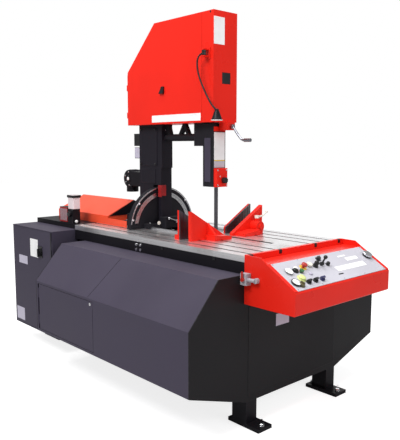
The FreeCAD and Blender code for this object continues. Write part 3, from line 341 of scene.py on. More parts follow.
# Red enamel darkened as painted shade for the angle pointer; the pump plate uses it too.
RED_WITH_PAINTED_SHADE = paint("red_enamel_with_painted_shade", (0.34, 0.014, 0.016), rough=(0.3, 0.4), dust=0.03)
OLIVE = plastic("olive_plastic", (0.10, 0.085, 0.03), coat=0.4)
GLOW = plastic("yellow_green_lamp", (0.72, 0.80, 0.30), coat=0.6)
LEVER_CHROME = metal("plated_steel", (0.80, 0.80, 0.82), rough=(0.08, 0.16), stain_amount=0.05)

SLOT_OF = {part["node"]: part["material_slot"] for part in frame["record"]["subparts"]}
# hull_front takes the darker charcoal that carries painted shade.
OWN_FINISH = {"column": COLUMN_COAT, "jaw_liners": LINER_STEEL, "crank_handle": CRANK_STEEL,
              "hull_front": FRONT_COAT_AND_SHADE, "rear_cover": COVER_RED}
for node, obj in frame["nodes"].items():
    finish = OWN_FINISH.get(node, MATERIALS[SLOT_OF[node]])
    for i in range(len(obj.material_slots)):
        obj.material_slots[i].material = finish
    if not obj.material_slots:
        obj.data.materials.append(finish)


# ---- modelling helpers --------------------------------------------------------------
def mode(name):
    bpy.ops.object.mode_set(mode=name)


def clear():
    if bpy.context.object and bpy.context.object.mode != "OBJECT":
        mode("OBJECT")
    bpy.ops.object.select_all(action="DESELECT")


def use_modifier(obj, kind, **values):
    modifier = obj.modifiers.new(kind.lower(), kind)
    for label, value in values.items():
        setattr(modifier, label, value)
    bpy.context.view_layer.objects.active = obj
    bpy.ops.object.modifier_apply(modifier=modifier.name)


def bevelled(obj, width):
    """Rounds the object's sharp edges."""
    use_modifier(obj, "BEVEL", width=width, segments=2, limit_method="ANGLE",
                 angle_limit=math.radians(40))


def done(name, body, finish, angle=35.0):
    """Names the active object, fixes its place in its mesh and gives it body and finish."""
    obj = bpy.context.object
    obj.name = name
    obj.data.name = name
    bpy.ops.object.transform_apply(location=True, rotation=True, scale=True)
    mode("EDIT")
    bpy.ops.mesh.select_all(action="SELECT")
    bpy.ops.mesh.normals_make_consistent(inside=False)
    mode("OBJECT")
    bpy.ops.object.shade_smooth_by_angle(angle=math.radians(angle))
    obj.data.materials.clear()
    obj.data.materials.append(finish)
    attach(obj, body)
    return obj


def finished(name, body, slot, angle=35.0):
    """The active object in the plain finish of its slot."""
    return done(name, body, MATERIALS[slot], angle)


def choose(obj, test):
    """Leaves edit mode on the object with just the vertices that pass the test selected."""
    mode("EDIT")
    bpy.ops.mesh.select_mode(type="VERT")
    bpy.ops.mesh.select_all(action="DESELECT")
    mode("OBJECT")
    for vertex in obj.data.vertices:
        vertex.select = test(vertex.co)
    mode("EDIT")


def open_ring(outer, inner, thick, sides=40, bevel=0.0):
    """Flat ring on the origin, open in the middle."""
    clear()
    bpy.ops.mesh.primitive_circle_add(vertices=sides, radius=outer)
    obj = bpy.context.object
    mode("EDIT")
    bpy.ops.mesh.select_all(action="SELECT")
    bpy.ops.mesh.extrude_region_move()
    bpy.ops.transform.resize(value=(inner / outer, inner / outer, 1))
    mode("OBJECT")
    use_modifier(obj, "SOLIDIFY", thickness=thick, offset=1)
    if bevel:
        bevelled(obj, bevel)
    return obj


def together(*pieces):
    """The pieces joined as one object, which becomes the active one."""
    clear()
    for piece in pieces:
        piece.select_set(True)
    bpy.context.view_layer.objects.active = pieces[-1]
    bpy.ops.object.join()
    return bpy.context.object


def slab(low, high, bevel=0.001, recess=0.0, border=0.004, face="Z"):
    """Bevelled plate between two corners, with an inset recess in one face."""
    clear()
    low, high = Vector(low), Vector(high)
    bpy.ops.mesh.primitive_cube_add(size=1, location=(low + high) / 2)
    obj = bpy.context.object
    obj.scale = high - low
    bpy.ops.object.transform_apply(location=True, rotation=True, scale=True)
    axis, sign = "XYZ".index(face[-1]), -1 if face[0] == "-" else 1
    mode("EDIT")
    bpy.ops.mesh.select_all(action="DESELECT")
    mode("OBJECT")
    for polygon in obj.data.polygons:
        polygon.select = polygon.normal[axis] * sign > 0.9
    mode("EDIT")
    bpy.ops.mesh.select_mode(type="FACE")
    bpy.ops.mesh.inset(thickness=border, depth=-recess)
    mode("OBJECT")
    if bevel:
        bevelled(obj, bevel)
    return obj


def turned(at, axis, profile, sides=32):
    """Turned piece: a circle extruded and resized through (radius, height) pairs along an axis."""
    clear()
    bpy.ops.mesh.primitive_circle_add(vertices=sides, radius=profile[0][0])
    obj = bpy.context.object
    mode("EDIT")
    bpy.ops.mesh.select_all(action="SELECT")
    bpy.ops.transform.translate(value=(0, 0, profile[0][1]))
    for (r0, h0), (r1, h1) in zip(profile, profile[1:]):
        bpy.ops.mesh.extrude_region_move(TRANSFORM_OT_translate={"value": (0, 0, h1 - h0)})
        bpy.ops.transform.resize(value=(r1 / r0, r1 / r0, 1))
    bpy.ops.mesh.edge_face_add()
    bpy.ops.mesh.select_all(action="DESELECT")
    bpy.ops.mesh.select_mode(type="EDGE")
    bpy.ops.mesh.select_non_manifold()
    bpy.ops.mesh.edge_face_add()
    mode("OBJECT")
    obj.rotation_mode = "QUATERNION"
    obj.rotation_quaternion = Vector((0, 0, 1)).rotation_difference(Vector(axis))
    obj.location = at
    bpy.ops.object.transform_apply(location=True, rotation=True, scale=True)
    return obj


def upright(profile, sides=32):
    """Turned piece that stands on the origin."""
    return turned((0, 0, 0), UP, profile, sides)


def repeated(obj, moves):
    """The object and a copy of its mesh for each further placement, joined as one piece."""
    first = obj.data.copy()
    obj.data.transform(moves[0])
    group = [obj]
    for move in moves[1:]:
        twin = obj.copy()
        twin.data = first.copy()
        twin.data.transform(move)
        bpy.context.collection.objects.link(twin)
        group.append(twin)
    clear()
    for piece in group:
        piece.select_set(True)
    bpy.context.view_layer.objects.active = obj
    if len(group) > 1:
        bpy.ops.object.join()
    return bpy.context.object


def hex_bolt(size):
    """Hexagon head on a washer, upright at the origin."""
    washer = upright([(size * 1.15, 0), (size * 1.15, size * 0.16), (size * 1.05, size * 0.2)], 24)
    head = upright([(size * 0.92, size * 0.2), (size, size * 0.3), (size, size * 0.75),
                    (size * 0.86, size * 0.9)], 6)
    return together(washer, head)


def facing(axis, places):
    """Placements of an upright part turned to an axis at each point."""
    turn = Vector((0, 0, 1)).rotation_difference(Vector(axis)).to_matrix().to_4x4()
    return [Matrix.Translation(Vector(p)) @ turn for p in places]


def label(name, body, low, high, face, finish=LABEL_WHITE, slot="white_plastic"):
    slab(low, high, bevel=0.0004, recess=0.0003, border=0.003, face=face)
    return done(name, body, finish)


def node_box(name):
    low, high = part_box(name)
    return Vector(low), Vector(high)


# ---- the camera ---------------------------------------------------------------------
EYE = (3.070, -2.648, 1.500)
HEADING = math.radians(47.6)
PITCH = math.radians(7.0)
LENS = 49.3


def set_camera():
    camera = bpy.data.objects.new("camera", bpy.data.cameras.new("camera"))
    bpy.context.collection.objects.link(camera)
    camera.location = EYE
    camera.rotation_euler = (math.pi / 2 - PITCH, 0, HEADING)
    camera.data.lens = LENS
    bpy.context.scene.camera = camera


# ---- head ---------------------------------------------------------------------------
HEAD_HIGH = node_box("head_housing")[1]
DOOR_LOW = node_box("head_door")[0]


def dress_head():
    front = HEAD_HIGH.x - 0.034
    near = DOOR_LOW.y
    floor = DOOR_LOW.z
    label("head_stripe", "head_door_body", (-0.203, near - 0.0008, floor + 0.012),
          (0.285, near + 0.0004, floor + 0.058), "-Y")
    label("front_plate", "frame", (front - 0.0004, -0.098, floor + 0.462),
          (front + 0.0008, -0.008, floor + 0.622), "X")
    slab((front - 0.004, -0.027, 1.876), (front - 0.0005, 0.044, 1.944), bevel=0.006, recess=0.001,
         border=0.004, face="X")
    done("sight_window", "frame", DARK_GLASS)
    latch = slab((-0.113, near - 0.016, 1.842), (-0.069, near, 1.888), bevel=0.002, recess=0.002,
                 border=0.006, face="-Y")
    choose(latch, lambda co: co.z > 1.870)
    bpy.ops.transform.resize(value=(0.45, 1, 1))
    bpy.ops.transform.translate(value=(0.012, 0.003, 0))
    mode("OBJECT")
    finished("door_latch", "head_door_body", "black_plastic")
    turned((0.372, near - 0.0005, HEAD_HIGH.z - 0.010), FAR,
           [(0.002, 0), (0.007, 0.0005), (0.007, 0.003), (0.005, 0.0035)], 16)
    finished("roof_plug", "frame", "black_plastic")
    bolt = hex_bolt(0.006)
    repeated(bolt, facing(FAR, [(0.02 + 0.06 * math.cos(a), HEAD_HIGH.y - 0.0001,
                                 1.965 + 0.06 * math.sin(a)) for a in (0.8, 2.4, 3.9, 5.5)]))
    finished("wheel_bearing_bolts", "frame", "bright_steel")


# ---- blade --------------------------------------------------------------------------
BLADE_EDGE = 0.33785               # front of the cutting run


def blade_teeth():
    """Row of raked teeth on the leading edge of the cutting run."""
    pitch = 0.008
    low, high = 0.80, 1.50
    clear()
    bpy.ops.mesh.primitive_plane_add(size=1, location=(BLADE_EDGE - 0.0006, 0, low))
    tooth = bpy.context.object
    tooth.scale = (0.0030, 0.0011, 1)
    bpy.ops.object.transform_apply(location=True, rotation=True, scale=True)
    mode("EDIT")
    bpy.ops.mesh.select_all(action="SELECT")
    bpy.ops.mesh.extrude_region_move(TRANSFORM_OT_translate={"value": (0, 0, pitch * 0.8)})
    bpy.ops.transform.resize(value=(0.12, 1, 1))
    bpy.ops.transform.translate(value=(-0.0008, 0, 0))
    mode("OBJECT")
    count = int((high - low) / pitch)
    repeated(tooth, [Matrix.Translation((0, 0, pitch * i)) for i in range(count)])
    finished("blade_teeth", "frame", "bright_steel", 20)


# ---- guide post ---------------------------------------------------------------------
def dress_guide_post():
    low, high = node_box("guide_post")
    box_low, box_high = node_box("guide_box")
    front, box_top = high.x, box_high.z
    label("post_front_plate", "guide", (front - 0.0004, low.y + 0.006, box_top + 0.051),
          (front + 0.001, high.y - 0.006, high.z - 0.055), "X")
    label("post_lower_strip", "guide", (front - 0.0004, low.y + 0.006, box_top + 0.003),
          (front + 0.001, high.y - 0.006, box_top + 0.044), "X", MATERIALS["panel_grey"],
          "panel_grey")
    label("post_yellow_line", "guide", (front - 0.0004, low.y + 0.006, box_top + 0.0445),
          (front + 0.0012, high.y - 0.006, box_top + 0.0505), "X", LABEL_YELLOW, "white_plastic")
    slab((front - 0.001, low.y + 0.002, high.z - 0.050),
         (front + 0.006, high.y - 0.002, high.z - 0.020), 0.002, 0.002, 0.004, "X")
    finished("post_top_bar", "guide", "red_paint")
    for side, y, out in (("near", low.y, -1), ("far", high.y, 1)):
        y0, y1 = sorted((y, y + out * 0.003))
        slab((low.x + 0.016, y0, low.z + 0.030), (high.x - 0.024, y1, high.z - 0.090), 0.001,
             0.0022, 0.010, "-Y" if out < 0 else "Y")
        finished(f"post_side_cover_{side}", "guide", "charcoal_paint")
    turned((box_high.x, -0.022, box_top - 0.050), AHEAD,
           [(0.014, -0.001), (0.014, 0.003), (0.011, 0.005), (0.006, 0.005)], 32)
    done("guide_knob_boss", "guide", LABEL_PINK)
    bolt = hex_bolt(0.0045)
    repeated(bolt, facing(AHEAD, [(box_high.x - 0.0001, y, z) for y in (-0.037, 0.037)
                                  for z in (box_low.z + 0.012, box_high.z - 0.012)]))
    finished("guide_box_bolts", "guide", "bright_steel")


# ---- column and quadrant ------------------------------------------------------------
POINTER_X = -0.17485


def dress_column():
    low, high = node_box("column")
    near = low.y
    front = high.x - 0.0005
    slab((low.x + 0.018, near - 0.003, 1.362), (-0.215, near, 1.628), 0.001, 0.001, 0.012, "-Y")
    done("column_upper_cover", "frame", COLUMN_COAT)
    slab((low.x + 0.018, near - 0.003, 1.240), (-0.235, near, 1.340), 0.001, 0.001, 0.010, "-Y")
    done("column_lower_cover", "frame", COLUMN_COAT)
    turned((front, -0.017, 1.608), AHEAD,
           [(0.014, -0.001), (0.014, 0.004), (0.011, 0.006), (0.003, 0.006)], 24)
    finished("column_front_boss", "frame", "grey_metal")
    bolt = hex_bolt(0.007)
    repeated(bolt,
             facing(NEAR, [(x, near - 0.003, z) for x in (-0.395, -0.235) for z in (1.375, 1.615)]))
    finished("column_cover_bolts", "frame", "black_plastic")
    side = slab((-0.203, near - 0.006, 1.150), (POINTER_X + 0.007, near, 1.232), 0.002, 0.002,
                0.006, "-Y")
    front_leaf = slab((POINTER_X, near - 0.004, 1.158), (POINTER_X + 0.007, -0.008, 1.232), 0.002,
                      0.002, 0.006, "X")
    together(side, front_leaf)
    # Painted shade: the pointer's red is darkened for the shade it sits in.
    done("angle_pointer", "frame", RED_WITH_PAINTED_SHADE)


PIVOT = Vector((0, 0, 0.938))      # the frame tilts about this


def scale_marks():
    """Graduations every two degrees, longer every ten, as thin dark bars on the arc."""
    high = node_box("angle_scale")[1]
    moves = []
    for degree in range(-66, 67, 2):
        length = 1.0 if degree % 10 == 0 else 0.55
        turn = Matrix.Rotation(math.radians(degree), 4, "X")
        stretch = Matrix.Diagonal((1, 1, length, 1))
        outward = Matrix.Translation((0, 0, high.y - 0.003))
        moves.append(Matrix.Translation(PIVOT) @ turn @ outward @ stretch)
    slab((high.x - 0.0002, -0.0007, -0.020), (high.x + 0.0004, 0.0007, 0), 0, 0.0001, 0.0001, "X")
    repeated(bpy.context.object, moves)
    finished("scale_marks", "carriage", "black_plastic")


def dress_carriage():
    high = node_box("quadrant")[1]
    rim = high.y - 0.013
    bolt = hex_bolt(0.007)
    places = [(high.x, rim * math.cos(math.radians(a)), PIVOT.z + rim * math.sin(math.radians(a)))
              for a in (14, 40, 140, 166)]
    repeated(bolt, facing(AHEAD, places))
    finished("quadrant_bolts", "carriage", "bright_steel")
    strip = open_ring(0.2785, 0.2705, 0.0008, 192, 0.0002)
    choose(strip, lambda co: co.y < 0.030)
    bpy.ops.mesh.delete(type="VERT")
    bpy.ops.mesh.select_all(action="SELECT")
    bpy.ops.mesh.select_non_manifold()
    bpy.ops.mesh.fill_holes(sides=8)
    mode("OBJECT")
    stand = Matrix(((0, 0, 1, 0), (1, 0, 0, 0), (0, 1, 0, 0), (0, 0, 0, 1)))
    strip.data.transform(Matrix.Translation((high.x, 0, PIVOT.z)) @ stand)
    finished("quadrant_edge_strip", "carriage", "bright_steel")
    base_high = node_box("carriage_base")[1]
    turned((base_high.x, -0.128, 0.984), AHEAD,
           [(0.013, -0.001), (0.013, 0.0004), (0.011, 0.0011), (0.004, 0.0014)])
    finished("carriage_button", "carriage", "white_plastic")
    bolt = hex_bolt(0.006)
    repeated(bolt, facing(UP, [(x, y, base_high.z - 0.042 + 0.0002)
                               for x in (-0.44, -0.33, -0.24, -0.17) for y in (-0.150, 0.150)]))
    finished("shoe_bolts", "carriage", "bright_steel")


# ---- lamp ---------------------------------------------------------------------------
LAMP_FOOT = Vector((0.35185, -0.134, 2.055))
LAMP_ROUTE = [(0, 0, 0), (-0.034, -0.012, -0.008), (-0.048, -0.016, -0.062),
              (-0.030, -0.014, -0.140), (0.014, -0.006, -0.230), (0.062, 0.004, -0.310),
              (0.090, 0.014, -0.338), (0.096, 0.016, -0.350)]


def lamp_line(depth):
    """The arm's smooth centre line as a mesh, or the tube along it."""
    clear()
    bpy.ops.curve.primitive_nurbs_path_add()
    path = bpy.context.object
    path.data.splines.remove(path.data.splines[0])
    spline = path.data.splines.new("NURBS")
    spline.points.add(len(LAMP_ROUTE) - 1)
    for point, step in zip(spline.points, LAMP_ROUTE):
        point.co = (*(LAMP_FOOT + Vector(step)), 1)
    spline.order_u = 3
    spline.use_endpoint_u = True
    spline.resolution_u = 12
    path.data.bevel_depth = depth
    path.data.bevel_resolution = 3
    path.data.use_fill_caps = depth > 0
    bpy.ops.object.convert(target="MESH")
    return bpy.context.object


def dress_lamp():
    line = lamp_line(0)
    points = [vertex.co.copy() for vertex in line.data.vertices]
    bpy.data.objects.remove(line)
    moves, travelled = [], 0.0
    for a, b in zip(points, points[1:]):
        travelled += (b - a).length
        if travelled >= 0.0042 and 0.012 < (b - LAMP_FOOT).length:
            moves += facing(b - a, [b])
            travelled = 0.0
    ribs = repeated(upright([(0.0046, -0.0013), (0.0060, -0.0006), (0.0060, 0.0006),
                             (0.0046, 0.0013)], 16), moves)
    together(ribs, lamp_line(0.0047))
    arm = finished("lamp_arm", "work_lamp_body", "black_plastic", 50)
    turned(LAMP_FOOT, UP, [(0.010, -0.016), (0.014, -0.013), (0.014, -0.005), (0.0125, -0.004),
                           (0.0125, 0.004), (0.014, 0.005), (0.014, 0.013), (0.010, 0.016)])
    foot = finished("lamp_knuckle", "work_lamp_body", "black_plastic")
    top = LAMP_FOOT + Vector((0.096, 0.016, -0.346))
    turned(top, DOWNWARD, [(0.007, -0.012), (0.012, -0.008), (0.013, 0), (0.017, 0.008),
                           (0.020, 0.018), (0.0325, 0.050), (0.034, 0.052), (0.034, 0.055),
                           (0.0315, 0.055), (0.0295, 0.050), (0.017, 0.019), (0.010, 0.012)], 48)
    shade = finished("lamp_shade", "work_lamp_body", "black_paint")
    rim = open_ring(0.0348, 0.0296, 0.004, 48, 0.0008)
    rim.data.transform(Matrix.Translation(top + Vector((0, 0, -0.0580))))
    rim = done("lamp_rim", "work_lamp_body", LABEL_WHITE)
    turned(top, DOWNWARD, [(0.008, 0.010), (0.008, 0.018), (0.0125, 0.027), (0.0140, 0.036),
                           (0.0110, 0.045), (0.003, 0.0485)])
    bulb = done("lamp_bulb", "work_lamp_body", LABEL_WHITE, 60)
    for piece in (arm, foot, shade, rim, bulb):
        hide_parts("work_lamp")


# ---- lubricator, motor and boxes ----------------------------------------------------
def dial(name, body, place, radius, depth):
    """Round sight glass: rim and dark glass, standing on the placement."""
    shell = upright([(radius * 0.96, 0), (radius, depth * 0.2), (radius, depth * 0.9),
                     (radius * 0.9, depth), (radius * 0.86, depth * 0.75)], 48)
    shell.data.transform(place)
    finished(f"{name}_rim", body, "black_plastic")
    face = upright([(radius * 0.85, depth * 0.76), (radius * 0.85, depth * 0.84),
                    (radius * 0.8, depth * 0.88), (radius * 0.15, depth * 0.9)], 48)
    face.data.transform(place)
    done(f"{name}_glass", body, DARK_GLASS)


def dress_lubricator():
    low, high = node_box("lubricator_tank")
    slab((low.x - 0.0006, low.y - 0.0006, high.z - 0.0185),
         (high.x + 0.0006, high.y + 0.0006, high.z + 0.0006), 0.002, 0.001, 0.008, "Z")
    finished("tank_lid", "base", "black_plastic")
    turned(((low.x + high.x) / 2, (low.y + high.y) / 2, high.z), UP,
           [(0.018, 0), (0.018, 0.004), (0.016, 0.006), (0.004, 0.0062)], 32)
    finished("tank_filler_cap", "base", "black_plastic")
    low, high = node_box("lubricator_pump")
    place = facing(NEAR, [(-0.806, low.y, 1.006)])[0]
    dial("oil_gauge", "base", place, 0.0200, 0.005)
    turned((high.x, -0.376, 0.954), AHEAD,
           [(0.008, -0.001), (0.011, 0.002), (0.011, 0.010), (0.007, 0.013), (0.002, 0.0132)], 20)
    done("oil_valve_knob", "base", LABEL_WHITE)
    # Pump plate in the darkened red made as the pointer's painted shade.
    slab((-0.957, -0.3945, 0.942), (-0.848, -0.3919, 1.050), 0.001, 0.0008, 0.004, "-Y")
    done("lubricator_cover", "base", RED_WITH_PAINTED_SHADE)
    rib = slab((-0.0025, -0.3955, 0.952), (0.0025, -0.3936, 1.040), 0.0006, 0.0003, 0.001, "-Y")
    repeated(rib, [Matrix.Translation((-0.945 + 0.011 * i, 0, 0)) for i in range(9)])
    finished("lubricator_cover_ribs", "base", "grey_metal")
    screw = upright([(0.003, 0), (0.004, 0.0006), (0.0038, 0.0016), (0.002, 0.002)], 12)
    repeated(screw,
             facing(NEAR, [(x, -0.392, z) for x in (-0.839, -0.779) for z in (0.946, 1.036)]))
    done("pump_screws", "base", LEVER_CHROME)


MOTOR_X, MOTOR_Z = -0.56785, 1.262


def dress_motor():
    low, high = node_box("junction_boxes")
    slab((low.x + 0.008, low.y - 0.0016, 1.415), (high.x - 0.002, low.y, 1.487), 0.0008, 0.0008,
         0.005, "-Y")
    done("lower_box_cover", "frame", LABEL_LILAC)
    slab((low.x + 0.002, low.y - 0.0016, 1.503), (high.x - 0.002, low.y, 1.584), 0.0008, 0.0008,
         0.005, "-Y")
    finished("upper_box_cover", "frame", "black_plastic")
    screw = upright([(0.002, 0), (0.0026, 0.0005), (0.0024, 0.0012), (0.001, 0.0014)], 10)
    repeated(screw, facing(NEAR, [(x, low.y - 0.0016, z) for x in (low.x + 0.013, high.x - 0.007)
                                  for z in (1.420, 1.482, 1.508, 1.579)]))
    done("box_screws", "frame", LEVER_CHROME)
    centre = Vector((MOTOR_X, node_box("tilt_motor")[0].y, MOTOR_Z))
    turned(centre, NEAR, [(0.013, 0), (0.013, 0.0015), (0.010, 0.003), (0.003, 0.0032)], 24)
    done("motor_centre_cap", "frame", LABEL_WHITE)
    bolt = hex_bolt(0.005)
    ring_places = [centre + Vector((0.047 * math.cos(a), 0.008, 0.047 * math.sin(a)))
                   for a in (0.6, 1.65, 2.7, 3.75, 4.8, 5.85)]
    repeated(bolt, facing(NEAR, ring_places))
    finished("motor_bolts", "frame", "bright_steel")
    fin = open_ring(0.0665, 0.0632, 0.0022, 64, 0.0005)
    repeated(fin, facing(FAR, [centre + Vector((0, 0.020 + 0.008 * i, 0)) for i in range(8)]))
    finished("motor_fins", "frame", "black_casting")


# ---- console ------------------------------------------------------------------------
SLOPE_TOP = Vector((1.120, 0, 0.912))
SLOPE_END = Vector((1.300, 0, 0.804))
DOWN = (SLOPE_END - SLOPE_TOP).normalized()
OFF = Vector((-DOWN.z, 0, DOWN.x))
PANEL_THICK = 0.003


def panel_matrix(run, across):
    """Stands a piece on the sloping panel, a distance down it and across it."""
    turn = Matrix((DOWN, FAR, OFF)).transposed().to_4x4()
    point = SLOPE_TOP + DOWN * run + OFF * PANEL_THICK
    return Matrix.Translation((point.x, across, point.z)) @ turn


RINGED = {       # run down the panel, place across it, collar radius
    "button_start": (0.093, -0.248, 0.0145),
    "button_stop": (0.062, -0.151, 0.0195),
    "estop": (0.067, -0.205, 0.0210),
    "selector_1": (0.170, -0.270, 0.0170),
    "selector_2": (0.170, -0.216, 0.0170),
    "speed": (0.171, -0.161, 0.0170),
}
STEM_HOLE = 0.0075


def ring(name, run, across, radius, finish):
    """Flat collar round a control, open in the middle for its stem."""
    obj = open_ring(radius, STEM_HOLE, 0.00025)
    obj.data.transform(panel_matrix(run, across))
    return done(name, "base", finish)


def fixed_cap(name, run, across, radius, height, finish):
    """Small fixed pilot lamp or plug: a turned, domed cap on a collar."""
    obj = upright([(radius * 1.3, 0), (radius * 1.3, height * 0.15), (radius, height * 0.2),
                   (radius, height * 0.8), (radius * 0.7, height), (radius * 0.2, height * 1.04)])
    obj.data.transform(panel_matrix(run, across))
    return done(name, "base", finish)


def panel_plate(name, run, across, size, finish):
    slab((-size[0] / 2, -size[1] / 2, 0), (size[0] / 2, size[1] / 2, 0.0008), 0.0004, 0.0003, 0.002,
         "Z")
    bpy.context.object.data.transform(panel_matrix(run, across))
    return done(name, "base", finish)


PANEL_CAPS = [   # name, run, across, radius, height, finish
    ("plug_black", 0.075, -0.112, 0.013, 0.032, MATERIALS["black_plastic"]),
    ("socket_black_1", 0.033, -0.040, 0.012, 0.018, MATERIALS["black_plastic"]),
    ("socket_black_2", 0.083, -0.013, 0.010, 0.018, MATERIALS["black_plastic"]),
    ("oval_switch", 0.079, -0.280, 0.014, 0.012, MATERIALS["black_plastic"]),
    ("yellow_lamp", 0.136, -0.291, 0.019, 0.016, GLOW),
    ("olive_knob", 0.176, -0.334, 0.015, 0.014, OLIVE),
    ("pilot_clear", 0.064, -0.262, 0.010, 0.010, LABEL_WHITE),
    ("plug_lilac", 0.118, -0.200, 0.010, 0.008, LABEL_LILAC),
]


def dress_console():
    for name, (run, across, radius) in RINGED.items():
        finish = LABEL_YELLOW if name == "estop" else LEVER_CHROME
        ring(f"collar_{name}", run, across, radius, finish)
    for name, run, across, radius, height, finish in PANEL_CAPS:
        fixed_cap(name, run, across, radius, height, finish)
    slab((-0.012, -0.0035, 0.012), (0.012, 0.0035, 0.022), 0.0015, 0.0005, 0.0015, "Z")
    bpy.context.object.data.transform(panel_matrix(0.176, -0.334) @ Matrix.Rotation(0.5, 4, "Z"))
    done("olive_knob_bar", "base", OLIVE)
    for name, run, across in (("meter_1", 0.078, -0.332), ("meter_2", 0.157, -0.358)):
        rim = upright([(0.0255, 0), (0.0265, 0.002), (0.0265, 0.009), (0.0235, 0.011),
                       (0.0225, 0.0085)], 40)
        rim.data.transform(panel_matrix(run, across))
        finished(f"{name}_rim", "base", "black_plastic")
        face = upright([(0.0222, 0.0086), (0.0222, 0.0096), (0.0210, 0.0100), (0.004, 0.0102)], 40)
        face.data.transform(panel_matrix(run, across))
        done(f"{name}_face", "base", LABEL_WHITE)
    panel_plate("panel_legend_1", 0.074, 0.222, (0.026, 0.110), LABEL_WHITE)
    panel_plate("panel_legend_2", 0.044, 0.160, (0.012, 0.070), LABEL_WHITE)
    panel_plate("panel_legend_3", 0.165, 0.013, (0.008, 0.040),
                MATERIALS["black_plastic"])
    panel_plate("panel_legend_4", 0.128, 0.150, (0.036, 0.270), LABEL_WHITE)
    screw = upright([(0.0035, 0), (0.0045, 0.0006), (0.0042, 0.0018), (0.0030, 0.0024)], 12)
    places = [(run, y) for run in (0.008, 0.200) for y in (-0.385, -0.19, 0.0, 0.19, 0.385)]
    repeated(screw, [panel_matrix(run, across) for run, across in places])
    done("panel_screws", "base", LEVER_CHROME)
    notch = slab((0.9735, -0.011, 0.923), (0.9940, 0.011, 0.9462), 0.0008, 0.0005, 0.002, "Z")
    repeated(notch, [Matrix.Translation((0, y, 0)) for y in (-0.391, -0.161, 0.150, 0.379)])
    finished("slot_end_stops", "base", "black_plastic")
    screw = upright([(0.007, 0), (0.008, 0.001), (0.0075, 0.004), (0.004, 0.005)], 12)
    repeated(screw,
             facing(UP, [(1.092, y, 0.912) for y in (-0.286, -0.138, -0.118, 0.026, 0.214, 0.36)]))
    finished("ledge_screws", "base", "black_plastic")


GAUGE_AT = (0.082, 0.364)          # down the panel, across it


def dress_gauge():
    face = upright([(0.0265, 0.013), (0.0275, 0.0175), (0.0245, 0.0185), (0.0235, 0.0165),
                    (0.002, 0.0164)], 48)
    face.data.transform(panel_matrix(*GAUGE_AT))
    done("gauge_dial", "base", LABEL_WHITE)
    rim = upright([(0.0268, 0.010), (0.0285, 0.012), (0.0285, 0.018), (0.0262, 0.0195),
                   (0.0246, 0.0190)], 48)
    rim.data.transform(panel_matrix(*GAUGE_AT))
    done("gauge_rim", "base", LEVER_CHROME)
    slab((-0.0008, -0.002, 0.0188), (0.0008, 0.019, 0.0194), 0.0002, 0.0001, 0.0002, "Z")
    bpy.context.object.data.transform(panel_matrix(*GAUGE_AT) @ Matrix.Rotation(0.7, 4, "Z"))
    finished("gauge_needle", "base", "black_plastic")


# ---- base ---------------------------------------------------------------------------
def dress_base():
    near = node_box("table_beams")[0].y
    bolt = hex_bolt(0.009)
    repeated(bolt, facing(NEAR, [(x, near, z) for x in (0.040, 0.081) for z in (0.856, 0.886)]))
    done("beam_bolts", "base", LEVER_CHROME)
    notch = slab((-0.010, near - 0.003, 0.884), (0.010, near, 0.902), 0.001, 0.001, 0.003, "-Y")
    repeated(notch, [Matrix.Translation((x, 0, 0)) for x in (0.295, 0.743)])
    finished("beam_stops", "base", "black_plastic")
    stud = upright([(0.0075, 0.018), (0.0075, 0.052), (0.0065, 0.054)], 16)
    nut = hex_bolt(0.014)
    nut.data.transform(Matrix.Translation((0, 0, 0.020)))
    together(stud, nut)
    places = [(x, side * 0.3445, 0) for x in (1.035, 0.850, -1.231, -1.046) for side in (-1, 1)]
    repeated(bpy.context.object, facing(UP, places))
    done("anchor_bolts", "base", LEVER_CHROME)
    front = node_box("hull_front")[1].x
    # The front access panel takes the same darker charcoal with painted shade.
    slab((front - 0.0004, -0.386, 0.175), (front + 0.0016, 0.386, 0.664), 0.0008, 0.0006, 0.004,
         "X")
    done("front_access_panel", "base", FRONT_COAT_AND_SHADE)
    label("front_blank_plate", "base", (front + 0.0012, -0.166, 0.516),
          (front + 0.0028, -0.054, 0.584), "X", LABEL_LILAC, "panel_grey")
    top, foot = Vector((0.140, -0.606, 0.838)), Vector((0.060, -0.800, 0.6145))
    along = (foot - top).normalized()
    out = Vector((0, -0.755, 0.656)).normalized()
    aside = out.cross(along).normalized()
    slab((-(foot - top).length / 2, -0.0011, -0.0003), ((foot - top).length / 2, 0.0011, 0.0004),
         0.0001, 0.0001, 0.0004, "Z")
    turn = Matrix((along, aside, out)).transposed().to_4x4()
    bpy.context.object.data.transform(Matrix.Translation((top + foot) / 2 + out * 0.0002) @ turn)
    finished("hull_seam", "base", "black_paint")


DOOR_SKIN, LABEL_SKIN = -0.6036, -0.6050   # inner and outer Y of flat door fittings


def dress_cabinet():
    high = node_box("cabinet_door")[1]
    body_low, body_high = node_box("cabinet_body")
    label("isolator_plate", "cabinet_door_body", (-1.032, LABEL_SKIN, 0.692),
          (-0.915, DOOR_SKIN, 0.824), "-Y")
    slab((-0.913, -0.6085, 0.700), (-0.846, -0.6037, 0.782), 0.002, 0.0010, 0.004, "-Y")
    finished("isolator_back", "cabinet_door_body", "black_plastic")
    slab((body_low.x + 0.0005, -0.6065, high.z + 0.0015),
         (body_high.x, -0.6035, body_high.z + 0.0005), 0.001, 0.0005, 0.002, "-Y")
    finished("cabinet_lid_lip", "base", "charcoal_paint")
    slab((-0.7300, -0.6046, 0.156), (-0.7205, DOOR_SKIN, 0.890), 0.0003, 0.0002, 0.002, "-Y")
    finished("cabinet_door_seal", "cabinet_door_body", "black_plastic")
    label("cabinet_label_1", "cabinet_door_body", (-1.220, LABEL_SKIN, 0.618),
          (-1.085, DOOR_SKIN, 0.680), "-Y", LABEL_LILAC)
    label("cabinet_label_2", "cabinet_door_body", (-1.285, LABEL_SKIN, 0.170),
          (-1.160, DOOR_SKIN, 0.267), "-Y", LABEL_LILAC)


